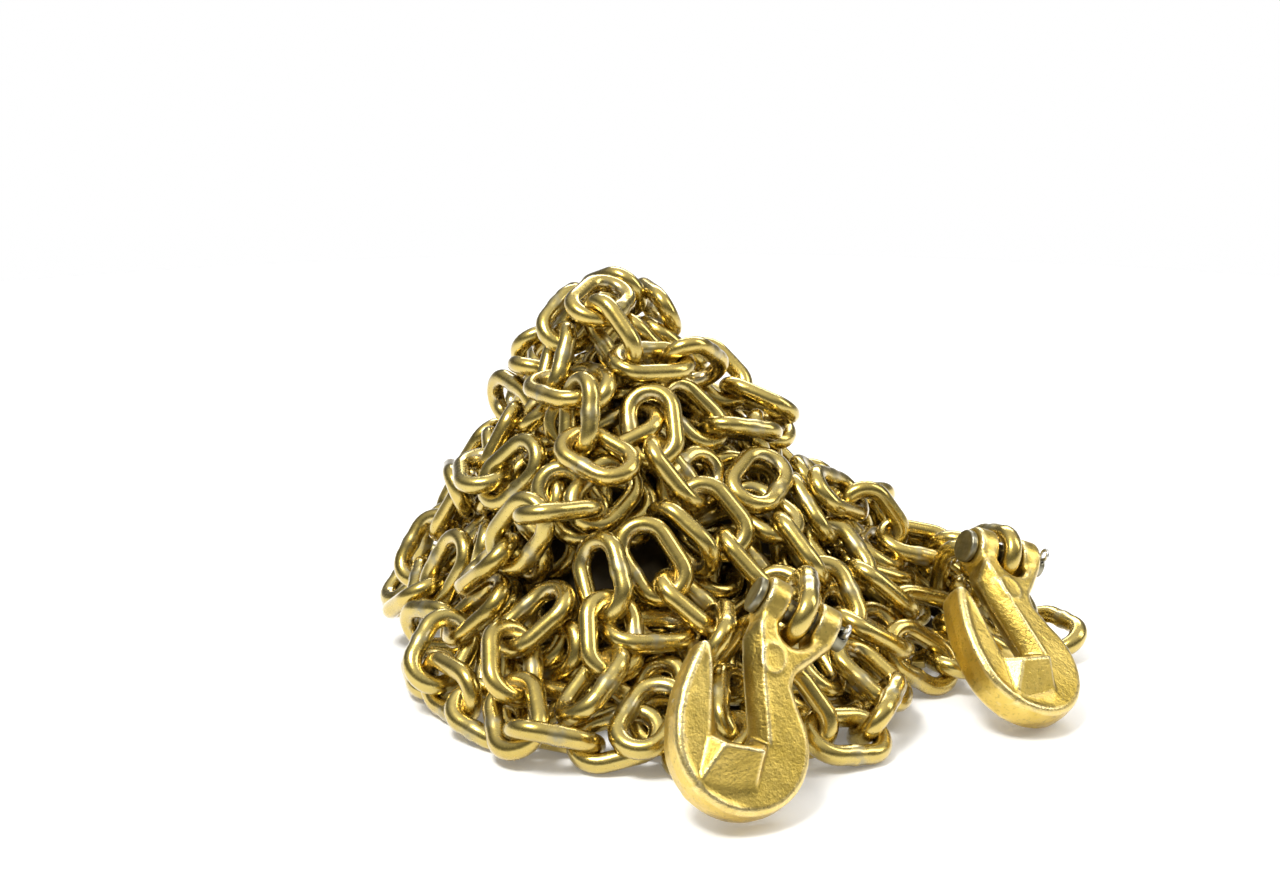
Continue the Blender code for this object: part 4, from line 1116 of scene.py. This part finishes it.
def split_pin_mesh(place):
    """Round wire folded to an eye, its two legs bent apart behind the pin."""
    leg = SPLIT_WIRE + SPLIT_LEG_OFF
    eye_middle = PIN_RADIUS + SPLIT_EYE_PROUD + SPLIT_EYE
    neck = eye_middle - SPLIT_EYE_NECK
    path = in_mm(SPLIT_LEGS[0])
    path += [(leg, SPLIT_LEG_END), (leg, 0.0), (leg, neck)]
    path += arc((0, eye_middle), SPLIT_EYE, *SPLIT_EYE_ARC, SPLIT_EYE_STEPS)
    path += [(-leg, neck), (-leg, 0.0), (-leg, SPLIT_LEG_END)]
    path += in_mm(SPLIT_LEGS[1])
    path = smooth_line(path, 2)
    reach = FORK_GAP / 2 + EAR + PIN_TAIL / 2
    x, y = fork_point(reach, path[:, 0])
    middle = place.at_many(x, y, path[:, 1])
    run = unit(np.gradient(middle, axis=0))
    flat = np.broadcast_to(place.pin, run.shape)
    outward = unit(np.cross(run, flat))
    turns = 2 * math.pi * np.arange(SPLIT_SIDES) / SPLIT_SIDES
    ring = np.cos(turns)[None, :, None] * outward[:, None] + np.sin(turns)[None, :, None] * flat[:, None]
    points = (middle[:, None] + SPLIT_WIRE * ring).reshape(-1, 3)
    faces = ring_quads(len(path), SPLIT_SIDES, closed=False)[:, ::-1]
    return cap_ends(points, faces, middle, run)


def cap_ends(points, faces, middle, run):
    """Closes both ends of a bar with a low dome of quads and a point."""
    last = len(points) - SPLIT_SIDES
    tips = np.array([middle[0] - SPLIT_TIP * run[0], middle[-1] + SPLIT_TIP * run[-1]])
    side = np.arange(0, SPLIT_SIDES, 2)
    first, second, third = side, (side + 1) % SPLIT_SIDES, (side + 2) % SPLIT_SIDES
    front = np.stack([first, second, third, np.full(len(side), len(points))], -1)
    back = np.stack([last + third, last + second, last + first, np.full(len(side), len(points) + 1)], -1)
    return np.concatenate([points, tips]), np.concatenate([faces, front, back])


def shadow_height(x, y):
    """Top of the dark lump: a set way in from the heap's surface."""
    step = SLOPE_STEP
    slope_x = (heap_height(x + step, y) - heap_height(x - step, y)) / (2 * step)
    slope_y = (heap_height(x, y + step) - heap_height(x, y - step)) / (2 * step)
    return heap_height(x, y) - SHADOW_DEPTH * np.sqrt(1 + slope_x ** 2 + slope_y ** 2)


def shadow_mesh():
    """Dark lump deep inside, closed above and below, which only shows as shade between the links."""
    rings, sides = SHADOW_RINGS, SHADOW_SIDES
    middle = np.array(SHADOW_MIDDLE)
    points = []
    for side in range(sides):
        turn = 2 * math.pi * side / sides
        way = np.array([math.cos(turn), math.sin(turn)])
        spots = middle + SHADOW_REACHES[:, None] * way
        heights = shadow_height(spots[:, 0], spots[:, 1])
        rim = SHADOW_REACHES[int(np.argmax(heights < MM))]
        spots = middle + (np.arange(1, rings + 1) / rings)[:, None] * rim * way
        heights = np.maximum(shadow_height(spots[:, 0], spots[:, 1]), 0)
        heights[-1] = 0
        points.append(np.stack([spots[:, 0], spots[:, 1], heights], -1))
    points = np.stack(points, 1).reshape(-1, 3)
    top, foot, last = len(points), len(points) + 1, (rings - 1) * sides
    points = np.concatenate([points, [[*middle, float(shadow_height(*middle))], [*middle, 0.0]]])
    side = np.arange(0, sides, 2)
    lid = np.stack([(side + 2) % sides, (side + 1) % sides, side, np.full(len(side), top)], -1)
    base = np.stack([last + side, last + (side + 1) % sides, last + (side + 2) % sides,
                     np.full(len(side), foot)], -1)
    return points, np.concatenate([ring_quads(rings, sides, closed=False), lid[:, ::-1], base[:, ::-1]])


# Materials

class Shader:
    """Adds nodes to a material and joins them."""

    def __init__(self, name):
        self.material = bpy.data.materials.new(name)
        self.material.use_nodes = True
        self.tree = self.material.node_tree
        self.surface = self.tree.nodes["Principled BSDF"]
        self.place = self.add("ShaderNodeTexCoord").outputs["Object"]

    def add(self, kind, **settings):
        node = self.tree.nodes.new(kind)
        for label, value in settings.items():
            setattr(node, label, value)
        return node

    def put(self, value, socket):
        if isinstance(value, bpy.types.NodeSocket):
            self.tree.links.new(value, socket)
        else:
            socket.default_value = value

    def noise(self, scale, detail, roughness=0.55):
        node = self.add("ShaderNodeTexNoise")
        self.put(self.place, node.inputs["Vector"])
        self.put(scale, node.inputs["Scale"])
        self.put(detail, node.inputs["Detail"])
        self.put(roughness, node.inputs["Roughness"])
        return node.outputs["Fac"]

    def attribute(self, label):
        return self.add("ShaderNodeAttribute", attribute_name=label).outputs["Fac"]

    def spread(self, value, low, high, start=0.0, end=1.0):
        """Value from low..high made into start..end, held at both ends."""
        node = self.add("ShaderNodeMapRange")
        self.put(value, node.inputs["Value"])
        for label, number in (("From Min", low), ("From Max", high), ("To Min", start), ("To Max", end)):
            node.inputs[label].default_value = number
        return node.outputs["Result"]

    def maths(self, operation, a, b):
        node = self.add("ShaderNodeMath", operation=operation)
        self.put(a, node.inputs[0])
        self.put(b, node.inputs[1])
        return node.outputs[0]

    def mix(self, share, a, b):
        node = self.add("ShaderNodeMix", data_type="RGBA")
        self.put(share, node.inputs["Factor"])
        for value, label in ((a, "A"), (b, "B")):
            socket = [s for s in node.inputs if s.name == label and s.type == "RGBA"][0]
            self.put((*value, 1) if isinstance(value, tuple) else value, socket)
        return [s for s in node.outputs if s.type == "RGBA"][0]

    def bump(self, height, strength, distance, under=None):
        node = self.add("ShaderNodeBump")
        node.inputs["Strength"].default_value = strength
        node.inputs["Distance"].default_value = distance
        self.put(height, node.inputs["Height"])
        if under is not None:
            self.put(under, node.inputs["Normal"])
        return node.outputs["Normal"]

    def edges(self, low, high):
        """How much a place is an outer edge, or an inner one where low is above high."""
        return self.spread(self.add("ShaderNodeNewGeometry").outputs["Pointiness"], low, high)

    def finish(self, colour, roughness, normal, metallic=1.0, coat=0.0):
        self.put(colour, self.surface.inputs["Base Color"])
        self.put(roughness, self.surface.inputs["Roughness"])
        self.put(normal, self.surface.inputs["Normal"])
        self.surface.inputs["Metallic"].default_value = metallic
        self.surface.inputs["Coat Weight"].default_value = coat
        self.surface.inputs["Coat Roughness"].default_value = COAT_ROUGHNESS
        return self.material


def chain_gold():
    """Gold chromate on drawn wire: glossy, clouded green and brown, dull welds, rubbed crowns."""
    shader = Shader("gold_chromate_wire")
    clouds = shader.noise(48, 3)
    fine = shader.noise(420, 4)
    tone = shader.attribute("tone")
    weld = shader.attribute("weld")
    worn = shader.attribute("worn")
    colour = shader.mix(shader.spread(clouds, 0.38, 0.66), (0.60, 0.44, 0.100), (0.46, 0.335, 0.065))
    colour = shader.mix(shader.spread(tone, 0, 1, 0, 0.5), colour, (0.50, 0.40, 0.115))
    patches = shader.maths("MULTIPLY", shader.spread(shader.noise(95, 5), 0.60, 0.74), 0.45)
    colour = shader.mix(patches, colour, (0.34, 0.26, 0.055))
    rubbed = shader.maths("MULTIPLY", worn, shader.spread(fine, 0.35, 0.6, 0.2, 0.8))
    colour = shader.mix(rubbed, colour, (0.55, 0.50, 0.36))
    dull = shader.maths("MULTIPLY", weld, shader.spread(shader.noise(260, 4), 0.40, 0.60, 0.15, 0.85))
    colour = shader.mix(dull, colour, (0.30, 0.28, 0.19))
    scuffs = shader.spread(shader.noise(150, 6, 0.7), 0.68, 0.74)
    colour = shader.mix(shader.maths("MULTIPLY", scuffs, 0.5), colour, (0.55, 0.52, 0.42))
    rough = shader.spread(fine, 0.3, 0.7, 0.20, 0.30)
    rough = shader.maths("ADD", rough, shader.maths("MULTIPLY", dull, 0.20))
    rough = shader.maths("ADD", rough, shader.maths("MULTIPLY", scuffs, 0.15))
    normal = shader.bump(shader.noise(1100, 3), 0.10, 0.0002)
    normal = shader.bump(shader.noise(120, 2), 0.10, 0.0006, normal)
    return shader.finish(colour, rough, normal, coat=0.9)


def forged_gold():
    """Gold chromate on a drop forging: fine scale grain, ridges rubbed and bright with painted
    highlight, slot and creases dark with painted shade.
    """
    shader = Shader("gold_chromate_forging")
    clouds = shader.noise(42, 3)
    grain = shader.noise(950, 4, 0.6)
    colour = shader.mix(shader.spread(clouds, 0.36, 0.66), (0.76, 0.555, 0.135), (0.55, 0.385, 0.065))
    pits = shader.spread(shader.noise(600, 4, 0.65), 0.54, 0.66)
    colour = shader.mix(shader.maths("MULTIPLY", pits, 0.6), colour, (0.33, 0.24, 0.055))
    # painted shade in the slot and on the facet beside it, patchy over the clouds
    patchy_slot_shade = shader.spread(clouds, 0.30, 0.62, 0.45, 0.95)
    slot = shader.maths("MULTIPLY", shader.attribute("slot"), patchy_slot_shade)
    # darker in the creases where facets meet, partly grime and partly painted shade; one mask with the
    # slot's painted shade
    hollows = shader.edges(0.495, 0.465)
    shade_and_grime = shader.maths("MAXIMUM", slot, shader.maths("MULTIPLY", hollows, 0.8))
    colour = shader.mix(shade_and_grime, colour, (0.21, 0.145, 0.025))
    # painted highlight: the convex rims made pale as the light would catch them, along with some rubbed
    # wear
    rim = shader.edges(0.506, 0.535)
    rubbed = shader.maths("MULTIPLY", rim, shader.spread(shader.noise(120, 4), 0.30, 0.55, 0.45, 1.0))
    colour = shader.mix(rubbed, colour, (0.92, 0.79, 0.44))
    grey = shader.spread(shader.noise(75, 5, 0.6), 0.63, 0.73)
    colour = shader.mix(shader.maths("MULTIPLY", grey, 0.4), colour, (0.42, 0.35, 0.19))
    rough = shader.spread(grain, 0.3, 0.7, 0.27, 0.40)
    rough = shader.maths("SUBTRACT", rough, shader.maths("MULTIPLY", rubbed, 0.08))
    normal = shader.bump(grain, 0.42, 0.0005)
    normal = shader.bump(shader.noise(330, 3), 0.26, 0.0007, normal)
    return shader.finish(colour, rough, normal, coat=0.35)


def pin_grey():
    """Bare steel of the pins, dark grey with an olive tinge, its rim rubbed."""
    shader = Shader("dull_pin_steel")
    clouds = shader.noise(160, 4)
    colour = shader.mix(shader.spread(clouds, 0.38, 0.62), (0.30, 0.28, 0.20), (0.20, 0.18, 0.11))
    rubbed = shader.edges(0.52, 0.60)
    colour = shader.mix(rubbed, colour, (0.62, 0.60, 0.52))
    rough = shader.spread(clouds, 0.3, 0.7, 0.30, 0.48)
    normal = shader.bump(shader.noise(1100, 4), 0.25, 0.0003)
    return shader.finish(colour, rough, normal)


def split_silver():
    """Bright zinc of the split pins, dented."""
    shader = Shader("split_pin_zinc")
    clouds = shader.noise(520, 4)
    colour = shader.mix(shader.spread(clouds, 0.36, 0.64), (0.74, 0.74, 0.72), (0.45, 0.44, 0.40))
    rough = shader.spread(clouds, 0.3, 0.7, 0.20, 0.42)
    normal = shader.bump(shader.noise(900, 3), 0.35, 0.0005)
    return shader.finish(colour, rough, normal)


def inner_shade():
    """What lies deepest in the heap, dark and dull."""
    shader = Shader("shade_within_heap")
    clouds = shader.noise(90, 4)
    colour = shader.mix(clouds, (0.050, 0.034, 0.010), (0.022, 0.015, 0.005))
    rough = shader.spread(clouds, 0.3, 0.7, 0.55, 0.75)
    normal = shader.bump(clouds, 0.6, 0.003)
    return shader.finish(colour, rough, normal, metallic=0.5)


# Studio

def floor_finish():
    shader = Shader("pale_floor")
    fine = shader.noise(3, 4)
    colour = shader.mix(fine, (0.92, 0.92, 0.92), (0.90, 0.90, 0.90))
    normal = shader.bump(shader.noise(60, 3), 0.05, 0.001)
    shader.surface.inputs["Emission Color"].default_value = (1, 1, 1, 1)
    shader.surface.inputs["Emission Strength"].default_value = FLOOR_GLOW
    return shader.finish(colour, 0.55, normal, metallic=0.0)


def build_floor():
    rings, sides = FLOOR_RINGS, FLOOR_SIDES
    points = [(0.0, 0.0, 0.0)]
    for ring in range(1, rings + 1):
        reach = FLOOR_REACH * (ring / rings) ** 2
        for side in range(sides):
            turn = 2 * math.pi * side / sides
            points.append((reach * math.cos(turn), reach * math.sin(turn), 0.0))
    faces = [(0, 1 + side, 1 + (side + 1) % sides) for side in range(sides)]
    for ring in range(rings - 1):
        here, there = 1 + ring * sides, 1 + (ring + 1) * sides
        faces += [(here + side, there + side, there + (side + 1) % sides, here + (side + 1) % sides)
                  for side in range(sides)]
    mesh = bpy.data.meshes.new("studio_floor")
    mesh.from_pydata(points, [], faces)
    mesh.materials.append(floor_finish())
    floor = bpy.data.objects.new("studio_floor", mesh)
    bpy.context.scene.collection.objects.link(floor)


def soft_light(name, place, aim, size, power, colour):
    lamp = bpy.data.lights.new(name, "AREA")
    lamp.shape = "RECTANGLE"
    lamp.size, lamp.size_y = size
    lamp.energy = power
    lamp.color = colour
    light = bpy.data.objects.new(name, lamp)
    light.location = place
    way = Vector(aim) - Vector(place)
    light.rotation_euler = way.to_track_quat("-Z", "Y").to_euler()
    bpy.context.scene.collection.objects.link(light)


def build_world():
    """Pale at the horizon, darker above it, so that the metal has something to mirror, bright on top."""
    world = bpy.data.worlds.new("studio")
    bpy.context.scene.world = world
    world.use_nodes = True
    tree = world.node_tree
    place = tree.nodes.new("ShaderNodeTexCoord")
    split = tree.nodes.new("ShaderNodeSeparateXYZ")
    ramp = tree.nodes.new("ShaderNodeValToRGB")
    tree.links.new(place.outputs["Generated"], split.inputs["Vector"])
    tree.links.new(split.outputs["Z"], ramp.inputs["Fac"])
    first, last = ramp.color_ramp.elements
    first.position, last.position = WORLD_SHADES[0][0], WORLD_SHADES[-1][0]
    for position, shade in WORLD_SHADES:
        element = {WORLD_SHADES[0][0]: first, WORLD_SHADES[-1][0]: last}.get(position)
        element = element or ramp.color_ramp.elements.new(position)
        element.color = (shade, shade, shade, 1)
    tree.links.new(ramp.outputs["Color"], tree.nodes["Background"].inputs["Color"])
    tree.nodes["Background"].inputs["Strength"].default_value = WORLD_STRENGTH


def build_camera():
    lens = bpy.data.cameras.new("photo_camera")
    lens.sensor_width = SENSOR
    lens.lens = SENSOR * FOCAL_PIXELS / IMAGE_WIDTH
    lens.clip_start = 0.01
    camera = bpy.data.objects.new("photo_camera", lens)
    camera.location = CAMERA_PLACE
    camera.rotation_euler = (math.radians(90) - CAMERA_DIP, 0, 0)
    bpy.context.scene.collection.objects.link(camera)
    bpy.context.scene.camera = camera


def main():
    finishes = dict(chain=chain_gold(), hook=forged_gold(), pin=pin_grey(), split=split_silver(),
                    shade=inner_shade())
    hooks = {name: HookPlace(**facts) for name, facts in HOOKS.items()}
    chance = np.random.default_rng(LOOK_SEED)
    strands = lay_chain(hooks)
    for index, strand in enumerate(strands):
        points, faces, attributes = links_mesh(strand, chance)
        add_piece(f"links_of_strand_{index + 1:02d}", points, faces, finishes["chain"],
                  [f"chain_strand_{index + 1:02d}"], attributes)
    bedded = lay_bedded(hooks, strands)
    within = lay_within(hooks, strands, bedded)
    for name, links, replaced in (("bedded_links", bedded, ["heap_core"]), ("links_within", within, [])):
        points, faces, attributes = links_mesh(links, chance)
        add_piece(name, points, faces, finishes["chain"], replaced, attributes)
    points, faces = shadow_mesh()
    add_piece("shade_within_heap", points, faces, finishes["shade"], ["heap_core"])
    forging, quads, attributes = forge_hook()
    for name, place in hooks.items():
        add_piece(f"forged_hook_{name}", place.at_many(*forging.T), quads, finishes["hook"],
                  [f"grab_hook_{name}"], attributes)
        points, faces = pin_mesh(place)
        add_piece(f"round_pin_{name}", points, faces, finishes["pin"],
                  [f"clevis_pin_{name}"])
        points, faces = split_pin_mesh(place)
        add_piece(f"bent_split_pin_{name}", points, faces, finishes["split"],
                  [f"split_pin_{name}"])
    build_floor()
    for name, facts in LIGHTS.items():
        soft_light(name, *facts)
    build_world()
    build_camera()
    bpy.context.scene.view_settings.view_transform = "Standard"


main()
